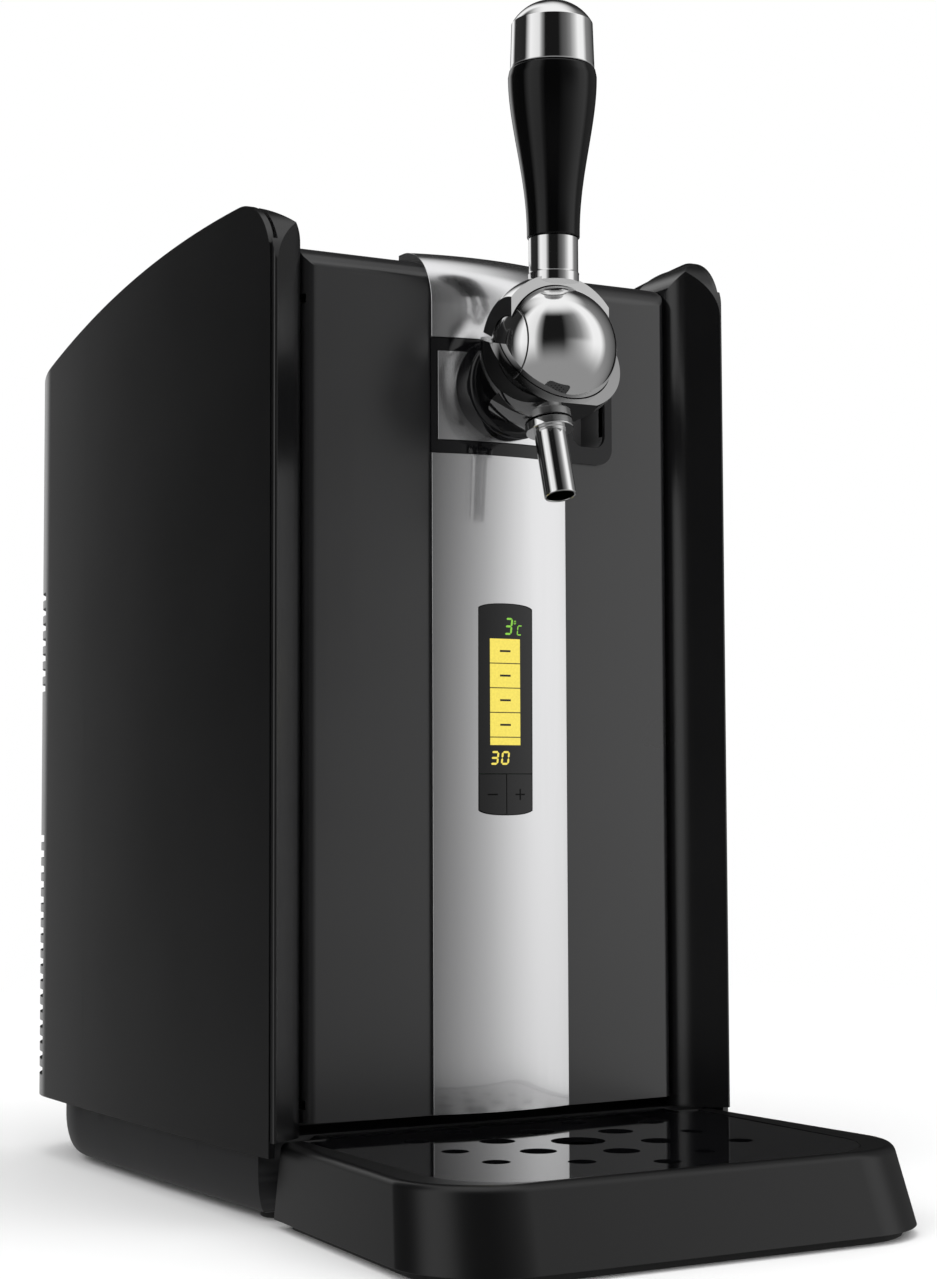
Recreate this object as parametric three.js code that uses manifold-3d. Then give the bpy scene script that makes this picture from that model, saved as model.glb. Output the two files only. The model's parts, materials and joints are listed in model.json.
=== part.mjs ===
// Countertop dispenser for a mini keg: a cooled housing with a hinged front door, a ball tap with
// a lever handle on the door, and a drip tray that stands in front and slides away.
// Millimetres. +X right seen from the front, +Y to the rear, +Z up, and the floor at Z = 0.
// Inside the file Y is 0 at the front of the two columns; the finished group is centred at the end.

import * as THREE from 'three';
import { mergeVertices } from 'three/addons/utils/BufferGeometryUtils.js';
import Module from 'manifold-3d';

const wasm = await Module();
wasm.setup();

// Fits shared by every piece
const gap = 0.3;
const overrun = 6;
const weld = 0.0001;

// Body shell
const bodyFrontWidth = 245;
const sideSwell = 8.5;
const bodyRearWidth = bodyFrontWidth + 2 * sideSwell;
const bodyDepth = 320;
const bodyHeight = 458;
const crownRadius = 950;
const noseRadius = 29;
const panelSetback = 3.5;
const rearCornerRadius = 54;
const rearTopRadius = 50;
const rearCoverDepth = 108;
const panelBottom = 31;
const panelWall = 3;
const topCoverWall = 2.5;
const topCoverDrop = 11;

// Base plinth and feet
const footHeight = 3.2;
const footRadius = 9;
const plinthInset = 4;
const plinthWall = 3;
const plinthRise = 14;
const plinthCornerRadius = 90;
const plinthEdgeRise = 20;
const plinthEdgeInset = 8;
const sillTop = 37.5;
const sillWall = 3;
const sillFront = 20.6;

// Front frame: columns and the bulkhead behind the door
const columnBottom = sillTop + gap;
const columnFace = 23.4;
const columnEdge = 2.7;
const columnTopDrop = 0.6;
const columnShoulderInset = 0.6;
const columnShoulderDrop = 9;
const columnInnerDrop = 24;
const columnCrestInset = 1.7;
const columnMeetInset = 9.2;
const columnMeetDepth = 8;
const columnHollowInset = 2.2;
const columnHollowDepth = 12.8;
const jambGap = 2;
const bulkheadFront = 47.5;
const bulkheadWall = 3;
const openingLip = 2;

// Keg chamber
const doorWidth = bodyFrontWidth - 2 * columnFace;
const chamberMargin = 9.1;
const chamberWidth = doorWidth - 2 * chamberMargin;
const chamberFloor = 60;
const chamberHeadroom = 58;
const chamberHeight = bodyHeight - chamberFloor - chamberHeadroom;
const chamberRearRoom = 130.8;
const chamberDepth = bodyDepth - chamberRearRoom;
const linerWall = 2.5;
const jacketWall = 16;
const jacketFloor = 12;
const ceilingDrop = 26;

// Door
const doorFront = 15.5;
const doorRise = 3.1;
const doorBottomGap = 5.5;
const doorBottom = sillTop + doorBottomGap;
const doorTopDrop = 16;
const doorTop = bodyHeight - doorTopDrop;
const doorRear = 44;
const doorWall = 2.2;
const doorTopRadius = 22;
const doorSideGap = 0.7;
const flangeDepth = 32;
const doorStep = 3.6;
const doorLinerWall = 2.5;
const doorFoamWall = 20;
const gasketWidth = 4;

// Door hinge
const hingeInset = 5.5;
const hingeClearance = 0.5;
const pinRadius = 1.5;
const eyeRadius = 3;
const armThickness = 3;
const armWidth = 5;
const lowerArmRise = 8;
const lowerArmHeight = doorBottom + lowerArmRise;
const upperArmDrop = 26;
const upperArmHeight = doorTop - upperArmDrop;
const pivotBossHeight = 4.5;
const pivotBossDepth = 6;
const pivotBossWidth = 10;

// Bright strip and black bezel on the door
const stripWidth = 72.6;
const stripEdge = 10.9;
const stripRise = 5.3;
const stripWall = 1.8;
const stripTopRise = 5.5;
const stripTop = doorTop + stripTopRise;
const stripTopRadius = 29;
const stripSeatGap = 0.4;
const bezelDrop = 39.5;
const bezelHeight = 54;
const bezelTop = doorTop - bezelDrop;
const bezelBottom = bezelTop - bezelHeight;
const bezelSunk = 0.6;
const bezelFlat = 11.4;
const bezelCorner = 8;
const tapPlateFrame = 5.8;
const tapPlateSideFrame = 2.6;
const tapPlateBottom = bezelBottom + tapPlateFrame;
const tapPlateTop = bezelTop - tapPlateFrame;
const tapPlateWidth = stripWidth - 2 * tapPlateSideFrame;
const pocketWidth = 18.5;
const pocketSideFrame = 4.7;
const pocketLeft = stripWidth / 2 + pocketSideFrame;
const pocketRise = 8.2;
const pocketBottom = bezelBottom + pocketRise;
const pocketDrop = 10.5;
const pocketTop = bezelTop - pocketDrop;
const pocketRightFrame = 4;
const bezelRight = pocketLeft + pocketWidth + pocketRightFrame;
const pocketCorner = 6;
const pocketDepth = 19;
const pocketWall = 1.5;

// Display and buttons in the strip
const displayWidth = 29.6;
const displayHeight = 99;
const displayDrop = 69.8;
const displayTop = bezelBottom - displayDrop;
const displayBottom = displayTop - displayHeight;
const displayArch = 2.4;
const displayCorner = 2.5;
const displayWall = 2;
const buttonHeight = 19.3;
const buttonTop = displayBottom + buttonHeight;
const boardWall = 1.6;
const boardInset = 1.3;
const boardHeightMargin = 3;

// Latch
const magnetWidth = 24;
const magnetHeight = 14;
const magnetInset = 39.1;
const magnetLeft = doorWidth / 2 - magnetInset;
const magnetDrop = 33;
const magnetBottom = doorTop - magnetDrop;
const strikeWall = 1.4;

// Tap; the ball's centre is the tap's own origin
const tapDrop = 10.7;
const tapHeight = bezelTop - tapDrop;
const tapReach = 38.8;
const ballRadius = 28.6;
const socketRadius = 34;
const ballClearance = 0.4;
const sideCapSetback = 5.3;
const pivotRadius = 4;
const pivotEndWall = 2.1;
const flangeRadius = 25;
const flangeFront = 6.3;
const flangeEdge = 3;
const shankDrop = 11.8;
const shankHeight = tapHeight - shankDrop;
const shankRadius = 9;
const shankBore = 5;
const shankRear = 62;
const bossRadius = 12.5;
const coneTopRadius = 26;
const coneTopDrop = 21.5;
const coneTrim = 4 * socketRadius;
const socketFrontAngle = 60;
const socketRearAngle = 198;
const beerBore = 6;

// Spout
const spoutLean = 16;
const spoutSetback = 5;
const spoutDrop = 33.5;
const spoutRadius = 7.4;
const spoutBore = 6.3;
const spoutLength = 36;
const collarRadius = 11;
const collarHeight = 4;

// Tap handle
const saddleRadius = 33.6;
const saddleHalfWidth = 26;
const saddleFront = 6;
const saddleFrontAngle = 285;
const saddleRearAngle = 204;
const saddleCollarDepth = 3.4;
const neckRadius = 11.3;
const neckBottom = 34.8;
const neckTop = 50.7;
const gripBottomRadius = 12.1;
const gripTopRadius = 20.4;
const gripLength = 78.2;
const gripChamfer = 3.6;
const gripEase = 1.12;
const capLength = 32.1;
const capRadius = 19.4;
const capTopRadius = 18.7;
const capDome = 11;
const studRadius = 4;

// Valve plunger
const plungerRadius = 2.5;
const plungerRear = 58;
const plungerHead = 6;

// Drip tray
const trayReach = 160;
const trayRear = 8;
const trayTongue = 20;
const trayTongueInset = 1.1;
const trayTongueWidth = doorWidth - 2 * trayTongueInset;
const trayRearInset = 4.5;
const trayRearWidth = bodyFrontWidth - 2 * trayRearInset;
const trayFlare = 7;
const trayFrontWidth = trayRearWidth + 2 * trayFlare;
const trayCorner = 42;
const trayBottom = 4;
const trayTop = sillTop;
const trayTaperX = 0.03;
const trayTaperY = 0.075;
const trayFloor = 3.5;
const trayPadHeight = 3.7;
const trayPadInset = 6;
const plateInset = 20;
const plateWidth = trayFrontWidth - 2 * plateInset;
const plateFrontInset = 17;
const plateReach = trayReach - plateFrontInset;
const plateRear = 17;
const plateThickness = 2.2;
const plateSink = 0.5;
const plateCorner = 36;
const ledgeWidth = 4;
const holePitchX = 31;
const holePitchY = 35;
const centreHoleSetback = 16;
const centreHole = 24;
const innerHole = 16;
const outerHole = 12;
const innerHoleShare = 1.2;
const trayMagnetWidth = 60;
const trayMagnetHeight = 10;
const trayMagnetWall = 2.6;

// Cooling unit behind the chamber
const coolerRise = 16;
const coolerHeight = chamberFloor + chamberHeight / 2 + coolerRise;
const coldPlateSize = 60;
const moduleSize = 40;
const moduleWall = 4;
const sinkSize = 90;
const sinkBase = 5;
const sinkDepth = 40.5;
const finCount = 13;
const finWall = 1.6;
const fanSize = 80;
const fanDepth = 15;
const fanBore = 37;
const fanHubRadius = 12;
const fanStub = 2.6;
const bladeCount = 7;
const bladeWall = 1.6;
const bladePitch = 34;
const bladeDepthShare = 0.9;
const strutWall = 5;
const fanPlate = 2.4;

// Services in the plinth and behind the jacket
const serviceMargin = 22.5;
const pumpLeft = bodyFrontWidth / 2 - serviceMargin;
const pumpWidth = 46;
const pumpDepth = 62;
const pumpRearRoom = 101;
const pumpFront = bodyDepth - pumpRearRoom - pumpDepth;
const pumpHeight = 30;
const motorRadius = 12;
const motorLength = 26;
const supplyWidth = 88;
const supplyLeft = bodyFrontWidth / 2 - serviceMargin - supplyWidth;
const supplyDepth = 110;
const supplyRearRoom = 73;
const supplyFront = bodyDepth - supplyRearRoom - supplyDepth;
const supplyHeight = 32;
const hoseRadius = 3;
const hoseTurn = 12;
const hoseSides = 8;
const hoseSteps = 64;
const couplingRadius = 7;
const couplingFlange = 11;
const couplingLeft = 40;
const couplingDrop = 55;
const couplingHeight = chamberFloor + chamberHeight - couplingDrop;
const couplingFrontRoom = 27.2;
const couplingSetback = chamberDepth - couplingFrontRoom;
const mainBoardWidth = 44;
const mainBoardRise = 50;
const mainBoardBottom = chamberFloor + mainBoardRise;
const mainBoardHeight = 76;
const chipHeight = 9;
const chipShares = [[0.2, 0.15], [0.2, 0.55], [0.6, 0.3]];
const standoffShares = [[0.1, 0.06], [0.1, 0.94], [0.9, 0.06], [0.9, 0.94]];
const inletWidth = 56;
const inletCornerRoom = 3;
const inletLeft = bodyRearWidth / 2 - rearCornerRadius - inletCornerRoom - inletWidth;
const inletBottom = 62;
const inletHeight = 27;
const inletDepth = 24;
const inletLip = 2;
const socketWidth = 24;
const socketHeight = 17;
const socketDepth = 16;
const inletMargin = 4.5;
const inletPinCount = 3;
const rockerWidth = 13;
const rockerHeight = 19;
const rockerDepth = 6;
const rockerTilt = 9;
const rockerGap = 1;
const rockerPivot = 1.2;

// Vent slots in the rear cover
const ventHeight = 4;
const ventPitch = 8.2;
const lowerVentBottom = 42;
const lowerVentCount = 16;
const upperVentBottom = 246;
const upperVentCount = 7;
const ventSideRoom = 6;
const fanVentCount = 8;

// Steps of round stretches
const sideSteps = 12;
const cornerSteps = 7;
const edgeSteps = 4;
const arcSteps = 14;
const roundSides = 28;
const smallSides = 16;
const ballSides = 36;
const ballRings = 18;

// Derived places
const apexY = panelSetback + noseRadius;
const seamY = bodyDepth - rearCoverDepth;
const plinthBottom = footHeight + gap;
const bulkheadRear = bulkheadFront + bulkheadWall;
const linerFront = bulkheadRear + gap;
const chamberRear = linerFront + chamberDepth;
const chamberCeiling = chamberFloor + chamberHeight;
const jacketRear = chamberRear + linerWall + gap + jacketWall;
const pinX = hingeInset - doorWidth / 2;
const pinY = doorFront + hingeInset;
const doorCrest = doorFront - doorRise;
const stripCrest = stripEdge - stripRise;
const innerDoorHalf = doorWidth / 2 - doorStep;
const columnInner = doorWidth / 2 + doorSideGap;
const columnOuter = bodyFrontWidth / 2 - gap;
const frameSide = bodyFrontWidth / 2 - panelWall - gap;
const gripBottom = neckTop + gap;
const gripTop = gripBottom + gripLength;
const capBottom = gripTop + gap;
const plateTop = trayTop - plateSink;
const plateBottom = plateTop - plateThickness;

// Materials
function finish(color, roughness, metalness) {
  return new THREE.MeshStandardMaterial({ color, roughness, metalness });
}

const satinBlack = finish(0x1c1c1e, 0.42, 0);
const doorGrey = finish(0x353538, 0.4, 0.1);
const glossBlack = finish(0x0c0c0d, 0.08, 0);
const brightChrome = finish(0xe6e7ea, 0.06, 1);
const brushedStrip = finish(0xc9cacd, 0.22, 1);
const darkPlastic = finish(0x222225, 0.6, 0);
const innerPlastic = finish(0xd5d7da, 0.5, 0);
const foam = finish(0xe9e4cf, 0.95, 0);
const rubber = finish(0x161616, 0.85, 0);
const aluminium = finish(0xb9bcc0, 0.35, 1);
const ceramic = finish(0xf0f0ee, 0.6, 0);
const boardGreen = finish(0x1f5a35, 0.55, 0);
const steel = finish(0x8e9196, 0.3, 1);
const hoseClear = finish(0xdfe3e6, 0.3, 0);
const magnetGrey = finish(0x4a4b4f, 0.4, 0.8);

// Turns a closed geometry into a solid whose faces point out
function solid(geometry) {
  const bare = new THREE.BufferGeometry();
  bare.setAttribute('position', geometry.getAttribute('position').clone());
  if (geometry.index) {
    bare.setIndex(geometry.index.clone());
  }
  const merged = mergeVertices(bare, weld);
  const places = merged.getAttribute('position').array;
  const kept = [];
  let volume = 0;
  for (let i = 0; i < merged.index.count; i += 3) {
    const [a, b, c] = [0, 1, 2].map((k) => merged.index.getX(i + k));
    if (a !== b && b !== c && c !== a) {
      kept.push(a, b, c);
      const [p, q, r] = [a, b, c].map((v) => new THREE.Vector3().fromArray(places, 3 * v));
      volume += p.dot(q.cross(r));
    }
  }
  if (volume < 0) {
    kept.reverse();
  }
  const mesh = new wasm.Mesh({
    numProp: 3,
    vertProperties: new Float32Array(places),
    triVerts: new Uint32Array(kept),
  });
  return new wasm.Manifold(mesh);
}

function joined(pieces) {
  return pieces.reduce((sum, piece) => sum.add(piece));
}

function piece(parent, name, body, material) {
  const mesh = body.getMesh();
  const geometry = new THREE.BufferGeometry();
  geometry.setAttribute('position', new THREE.BufferAttribute(new Float32Array(mesh.vertProperties), 3));
  geometry.setIndex(new THREE.BufferAttribute(new Uint32Array(mesh.triVerts), 1));
  geometry.computeVertexNormals();
  const node = new THREE.Mesh(geometry, material);
  node.name = name;
  parent.add(node);
  return node;
}

// Blocks, rods and outlines
function block(x0, x1, y0, y1, z0, z1) {
  const geometry = new THREE.BoxGeometry(x1 - x0, y1 - y0, z1 - z0);
  geometry.translate((x0 + x1) / 2, (y0 + y1) / 2, (z0 + z1) / 2);
  return solid(geometry);
}

function outline(points) {
  return new THREE.Shape(points.map(([x, y]) => new THREE.Vector2(x, y)));
}

function extrude(shape, depth, steps = arcSteps) {
  return new THREE.ExtrudeGeometry(shape, { depth, bevelEnabled: false, curveSegments: steps });
}

function extrudeZ(shape, z0, z1) {
  return solid(extrude(shape, z1 - z0).translate(0, 0, z0));
}

// A side view, drawn as depth and height, carried from x0 to x1
function extrudeX(shape, x0, x1) {
  const turn = new THREE.Matrix4().set(0, 0, 1, x0, 1, 0, 0, 0, 0, 1, 0, 0, 0, 0, 0, 1);
  return solid(extrude(shape, x1 - x0).applyMatrix4(turn));
}

// A front view, drawn as width and height, carried from y0 to y1
function extrudeY(shape, y0, y1) {
  const turn = new THREE.Matrix4().set(1, 0, 0, 0, 0, 0, -1, y1, 0, 1, 0, 0, 0, 0, 0, 1);
  return solid(extrude(shape, y1 - y0).applyMatrix4(turn));
}

function rodZ(radius, z0, z1, x = 0, y = 0, sides = roundSides) {
  const geometry = new THREE.CylinderGeometry(radius, radius, z1 - z0, sides);
  geometry.rotateX(Math.PI / 2).translate(x, y, (z0 + z1) / 2);
  return solid(geometry);
}

function rodY(radius, y0, y1, x = 0, z = 0, sides = roundSides) {
  const geometry = new THREE.CylinderGeometry(radius, radius, y1 - y0, sides);
  return solid(geometry.translate(x, (y0 + y1) / 2, z));
}

function rodX(radius, x0, x1, y = 0, z = 0, sides = roundSides) {
  const geometry = new THREE.CylinderGeometry(radius, radius, x1 - x0, sides);
  geometry.rotateZ(Math.PI / 2).translate((x0 + x1) / 2, y, z);
  return solid(geometry);
}

function ball(radius) {
  return solid(new THREE.SphereGeometry(radius, ballSides, ballRings).rotateX(Math.PI / 2));
}

// A turned piece about the vertical: a list of radius and height that closes on the axis
function turned(profile, sides = roundSides) {
  const points = profile.map(([radius, height]) => new THREE.Vector2(radius, height));
  return solid(new THREE.LatheGeometry(points, sides).rotateX(Math.PI / 2));
}

function arcPoints(cx, cy, radius, fromAngle, toAngle, steps) {
  const points = [];
  for (let i = 0; i <= steps; i++) {
    const angle = fromAngle + ((toAngle - fromAngle) * i) / steps;
    points.push([cx + radius * Math.cos(angle), cy + radius * Math.sin(angle)]);
  }
  return points;
}

function mirrored(points) {
  return points.concat([...points].reverse().map(([x, y]) => [-x, y]));
}

// A rectangle with its own radius at each corner, from the lower left round to the upper left
function roundedRect(x0, x1, y0, y1, radii) {
  const [a, b, c, d] = radii;
  const half = Math.PI / 2;
  const corner = (cx, cy, radius, start) =>
    radius > 0 ? arcPoints(cx, cy, radius, start, start + half, cornerSteps) : [[cx, cy]];
  return outline([
    ...corner(x0 + a, y0 + a, a, Math.PI),
    ...corner(x1 - b, y0 + b, b, Math.PI + half),
    ...corner(x1 - c, y1 - c, c, 0),
    ...corner(x0 + d, y1 - d, d, half),
  ]);
}

// Half of the body's width at a depth: it swells towards the rear
function halfWidthAt(y) {
  const share = Math.min(Math.max(y / (bodyDepth - rearCornerRadius), 0), 1);
  const swell = (bodyRearWidth - bodyFrontWidth) / 2;
  return bodyFrontWidth / 2 + swell * (1 - (1 - share) ** 2);
}

// The body seen from above, between two depths
function planShape(inset, fromY, toY, cornerRadius = rearCornerRadius) {
  const cornerY = bodyDepth - cornerRadius;
  const sideEnd = Math.min(toY, cornerY);
  const right = [];
  for (let i = 0; i <= sideSteps; i++) {
    const y = fromY + ((sideEnd - fromY) * i) / sideSteps;
    right.push([halfWidthAt(y) - inset, y]);
  }
  if (toY > cornerY) {
    const radius = cornerRadius - inset;
    const centre = halfWidthAt(cornerY) - cornerRadius;
    right.push(...arcPoints(centre, cornerY, radius, 0, Math.PI / 2, 2 * cornerSteps).slice(1));
  }
  return outline(mirrored(right));
}

// The body seen from the side: nose, long crown, rounded rear top and a straight rear
function sideShape(inset, frontY, bottom) {
  const nose = apexY - frontY;
  const crown = crownRadius - inset;
  const centreZ = bodyHeight - noseRadius - Math.sqrt((crownRadius - noseRadius) ** 2 - apexY ** 2);
  const noseMeet = Math.acos(apexY / (crown - nose));
  const noseZ = centreZ + (crown - nose) * Math.sin(noseMeet);
  const rearCentreY = bodyDepth - rearTopRadius;
  const rearMeet = Math.acos(rearCentreY / (crownRadius - rearTopRadius));
  const rearCentreZ = centreZ + (crownRadius - rearTopRadius) * Math.sin(rearMeet);
  return outline([
    [frontY, bottom],
    ...arcPoints(apexY, noseZ, nose, Math.PI, noseMeet, cornerSteps),
    ...arcPoints(0, centreZ, crown, noseMeet, rearMeet, arcSteps).slice(1),
    ...arcPoints(rearCentreY, rearCentreZ, rearTopRadius - inset, rearMeet, 0, cornerSteps).slice(1),
    [bodyDepth - inset, bottom],
  ]);
}

function bodySlice(inset, frontY) {
  return extrudeX(sideShape(inset, frontY, -overrun), -bodyRearWidth, bodyRearWidth);
}

// Depth of a shallow arc across the front at a distance from its middle
function arcDepth(x, halfWidth, edge, rise) {
  const radius = (halfWidth ** 2 + rise ** 2) / (2 * rise);
  return edge - rise + radius - Math.sqrt(radius ** 2 - x ** 2);
}

// Side panels
function sidePanel(side) {
  const outer = extrudeZ(planShape(0, panelSetback, seamY), panelBottom, bodyHeight + overrun);
  const inner = extrudeZ(planShape(panelWall, -overrun, bodyDepth), 0, bodyHeight + 2 * overrun);
  const half = block(
    side > 0 ? 0 : -bodyRearWidth, side > 0 ? bodyRearWidth : 0,
    -overrun, bodyDepth, 0, bodyHeight + overrun,
  );
  return outer.subtract(inner).intersect(bodySlice(0, panelSetback)).intersect(half);
}

// Top cover between the side panels, from the bulkhead to the rear cover's seam
function topCover() {
  const start = bulkheadFront + gap;
  const sheet = extrudeZ(planShape(panelWall + gap, start, seamY - gap), seamY, bodyHeight);
  const above = bodySlice(topCoverDrop, panelSetback);
  const below = bodySlice(topCoverDrop + topCoverWall, panelSetback);
  return sheet.intersect(above).subtract(below);
}

// Vent slots run round both rear corners; a second field serves the fan
function ventCutters() {
  const cutters = [];
  const slot = (x0, x1, y0, z) => cutters.push(block(x0, x1, y0, bodyDepth + overrun, z, z + ventHeight));
  const inner = bodyRearWidth / 2 - rearCornerRadius;
  const cornerY = bodyDepth - rearCornerRadius + ventSideRoom;
  const groups = [[lowerVentBottom, lowerVentCount], [upperVentBottom, upperVentCount]];
  for (const [bottom, count] of groups) {
    for (let i = 0; i < count; i++) {
      slot(inner, bodyRearWidth, cornerY, bottom + i * ventPitch);
      slot(-bodyRearWidth, -inner, cornerY, bottom + i * ventPitch);
    }
  }
  for (let i = 0; i < fanVentCount; i++) {
    const z = coolerHeight + (i - (fanVentCount - 1) / 2) * ventPitch - ventHeight / 2;
    const reach = Math.sqrt(fanBore ** 2 - (z + ventHeight / 2 - coolerHeight) ** 2);
    slot(-reach, reach, bodyDepth - rearCornerRadius / 2, z);
  }
  return cutters;
}

function rearCover() {
  const outer = extrudeZ(planShape(0, seamY + gap, bodyDepth), panelBottom, bodyHeight);
  const inner = extrudeZ(planShape(panelWall, 0, bodyDepth), -overrun, bodyHeight + overrun);
  const shell = outer.intersect(bodySlice(0, panelSetback))
    .subtract(inner.intersect(bodySlice(panelWall, panelSetback)));
  const inletHole = block(
    inletLeft, inletLeft + inletWidth, bodyDepth - inletDepth, bodyDepth + overrun,
    inletBottom, inletBottom + inletHeight,
  );
  return ventCutters().reduce((cover, cutter) => cover.subtract(cutter), shell.subtract(inletHole));
}

// A plinth body whose lower edge is rolled in all round
function plinthBody(inset, frontY, bottom, top) {
  const geometry = new THREE.ExtrudeGeometry(planShape(inset, frontY, bodyDepth, plinthCornerRadius), {
    depth: top - bottom, bevelThickness: plinthEdgeRise, bevelSize: plinthEdgeInset,
    bevelOffset: -plinthEdgeInset, bevelSegments: edgeSteps,
  });
  const above = block(
    -bodyRearWidth, bodyRearWidth, -overrun, bodyDepth + overrun, top, top + 2 * plinthEdgeRise,
  );
  return solid(geometry.translate(0, 0, bottom + plinthEdgeRise)).subtract(above);
}

// Base plinth: floor, walls that stand inside the shell, the sill and the seat of the tray's magnet
function basePlinth() {
  const wallTop = panelBottom + plinthRise;
  const outer = plinthBody(plinthInset, sillFront, plinthBottom, wallTop);
  const hollow = plinthBody(
    plinthInset + plinthWall, sillFront + plinthWall, plinthBottom + plinthWall, wallTop + overrun,
  );
  const sill = extrudeZ(planShape(plinthInset, sillFront, bulkheadRear), sillTop - sillWall, sillTop);
  const magnetSeat = block(
    -trayMagnetWidth / 2, trayMagnetWidth / 2, sillFront, sillFront + plinthEdgeInset + plinthWall,
    plinthBottom + plinthWall, sillTop,
  );
  const clearFront = block(
    -bodyRearWidth, bodyRearWidth, 0, bulkheadRear + gap, sillTop, bodyHeight,
  );
  return joined([outer.subtract(hollow), sill, magnetSeat]).subtract(clearFront);
}

function foot(x, y) {
  return rodZ(footRadius, 0, footHeight, x, y, smallSides);
}

// Front frame: two rounded columns joined by the bulkhead
function bowPoints(from, control, to) {
  const [a, b, c] = [from, control, to].map(([x, y]) => new THREE.Vector2(x, y));
  return new THREE.QuadraticBezierCurve(a, b, c).getPoints(edgeSteps).map((point) => [point.x, point.y]);
}

function columnShape(side) {
  const crest = columnOuter - columnCrestInset;
  const meet = [columnInner + columnMeetInset, columnMeetDepth];
  const jamb = innerDoorHalf + jambGap;
  const flangeRoom = flangeDepth + jambGap;
  const points = [
    ...bowPoints([columnInner, pinY], [columnInner + columnHollowInset, columnHollowDepth], meet),
    [crest, 0],
    ...bowPoints([crest, 0], [columnOuter, 0], [columnOuter, columnEdge]).slice(1),
    [frameSide, columnEdge],
    [frameSide, bulkheadRear],
    [jamb, bulkheadRear],
    [jamb, flangeRoom],
    [columnInner, flangeRoom],
  ];
  return outline(points.map(([x, y]) => [side * x, y]));
}

// A column from the front: its top falls in a curve to the door's upper corner
function columnFrontShape(side) {
  const outerTop = [columnOuter, bodyHeight - columnTopDrop];
  const shoulder = [columnInner + columnShoulderInset, bodyHeight - columnShoulderDrop];
  const innerTop = [columnInner, bodyHeight - columnInnerDrop];
  const crest = bowPoints(outerTop, shoulder, innerTop);
  const points = [[0, 0], [columnOuter, 0], ...crest, [0, bodyHeight - columnInnerDrop]];
  return outline(points.map(([x, z]) => [side * x, z]));
}

function column(side) {
  return extrudeZ(columnShape(side), columnBottom, bodyHeight)
    .intersect(extrudeY(columnFrontShape(side), -overrun, bulkheadRear + overrun));
}

function frontFrame() {
  const columns = [-1, 1].map(column);
  const profile = bodySlice(gap, 0);
  const bulkhead = block(-frameSide, frameSide, bulkheadFront, bulkheadRear, columnBottom, bodyHeight)
    .intersect(bodySlice(topCoverDrop + topCoverWall + gap, panelSetback));
  const columnFront = block(-columnOuter, columnOuter, -overrun, bulkheadFront, 0, bodyHeight);
  const opening = block(
    openingLip - chamberWidth / 2, chamberWidth / 2 - openingLip, 0, bodyDepth,
    chamberFloor + openingLip, chamberCeiling - openingLip,
  );
  const strikePocket = block(
    magnetLeft - gap, magnetLeft + magnetWidth + gap, 0, bulkheadFront + strikeWall + gap,
    magnetBottom - gap, magnetBottom + magnetHeight + gap,
  );
  return joined(columns).intersect(profile).intersect(columnFront).add(bulkhead)
    .subtract(opening).subtract(strikePocket);
}

// Keg chamber: straight sides and a round back, open to the front
function chamberShape(grow) {
  const radius = chamberWidth / 2;
  const centre = chamberRear - radius;
  const arc = arcPoints(0, centre, radius + grow, 0, Math.PI, 2 * arcSteps);
  return outline([[radius + grow, linerFront - overrun], ...arc, [-radius - grow, linerFront - overrun]]);
}

function chamberBody(grow, front) {
  const body = extrudeZ(chamberShape(grow), chamberFloor - grow, chamberCeiling + grow);
  return body.intersect(bodySlice(ceilingDrop - grow, panelSetback))
    .subtract(block(-bodyRearWidth, bodyRearWidth, -bodyDepth, front, 0, bodyHeight));
}

function couplingRod(radius, y0, y1) {
  return rodY(radius, y0, y1, -couplingLeft, couplingHeight, smallSides);
}

function chamberLiner() {
  return chamberBody(linerWall, linerFront).subtract(chamberBody(0, 0))
    .subtract(couplingRod(couplingRadius + gap, linerFront + couplingSetback, jacketRear));
}

function insulationJacket() {
  const half = chamberWidth / 2 + linerWall + gap + jacketWall;
  const z0 = chamberFloor - linerWall - gap - jacketFloor;
  const z1 = chamberCeiling + linerWall + gap + jacketWall;
  const corner = chamberWidth / 4;
  const shape = roundedRect(-half, half, linerFront, jacketRear, [0, 0, corner, corner]);
  const cavity = chamberBody(linerWall + gap, linerFront - overrun);
  const plateHole = block(
    -coldPlateSize / 2 - gap, coldPlateSize / 2 + gap, chamberRear - linerWall, jacketRear + overrun,
    coolerHeight - coldPlateSize / 2 - gap, coolerHeight + coldPlateSize / 2 + gap,
  );
  return extrudeZ(shape, z0, z1).intersect(bodySlice(topCoverDrop + topCoverWall + gap, panelSetback))
    .subtract(cavity).subtract(plateHole)
    .subtract(couplingRod(couplingRadius + gap, linerFront + couplingSetback, jacketRear + overrun));
}

// Cooling unit: cold plate against the liner, module, finned sink, fan
function coldPlate() {
  const half = coldPlateSize / 2;
  const rear = jacketRear - moduleWall;
  const plate = block(-half, half, linerFront, rear, coolerHeight - half, coolerHeight + half);
  return plate.subtract(chamberBody(linerWall + gap, linerFront - overrun));
}

function thermoModule() {
  const half = moduleSize / 2;
  const front = jacketRear - moduleWall + gap;
  return block(-half, half, front, front + moduleWall, coolerHeight - half, coolerHeight + half);
}

const sinkFront = jacketRear + 2 * gap;
const fanFront = sinkFront + sinkDepth + gap;

function heatSink() {
  const half = sinkSize / 2;
  const parts = [
    block(-half, half, sinkFront, sinkFront + sinkBase, coolerHeight - half, coolerHeight + half),
  ];
  const pitch = (sinkSize - finWall) / (finCount - 1);
  for (let i = 0; i < finCount; i++) {
    const x = i * pitch - half;
    parts.push(block(
      x, x + finWall, sinkFront + sinkBase / 2, sinkFront + sinkDepth,
      coolerHeight - half, coolerHeight + half,
    ));
  }
  return joined(parts);
}

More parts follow.
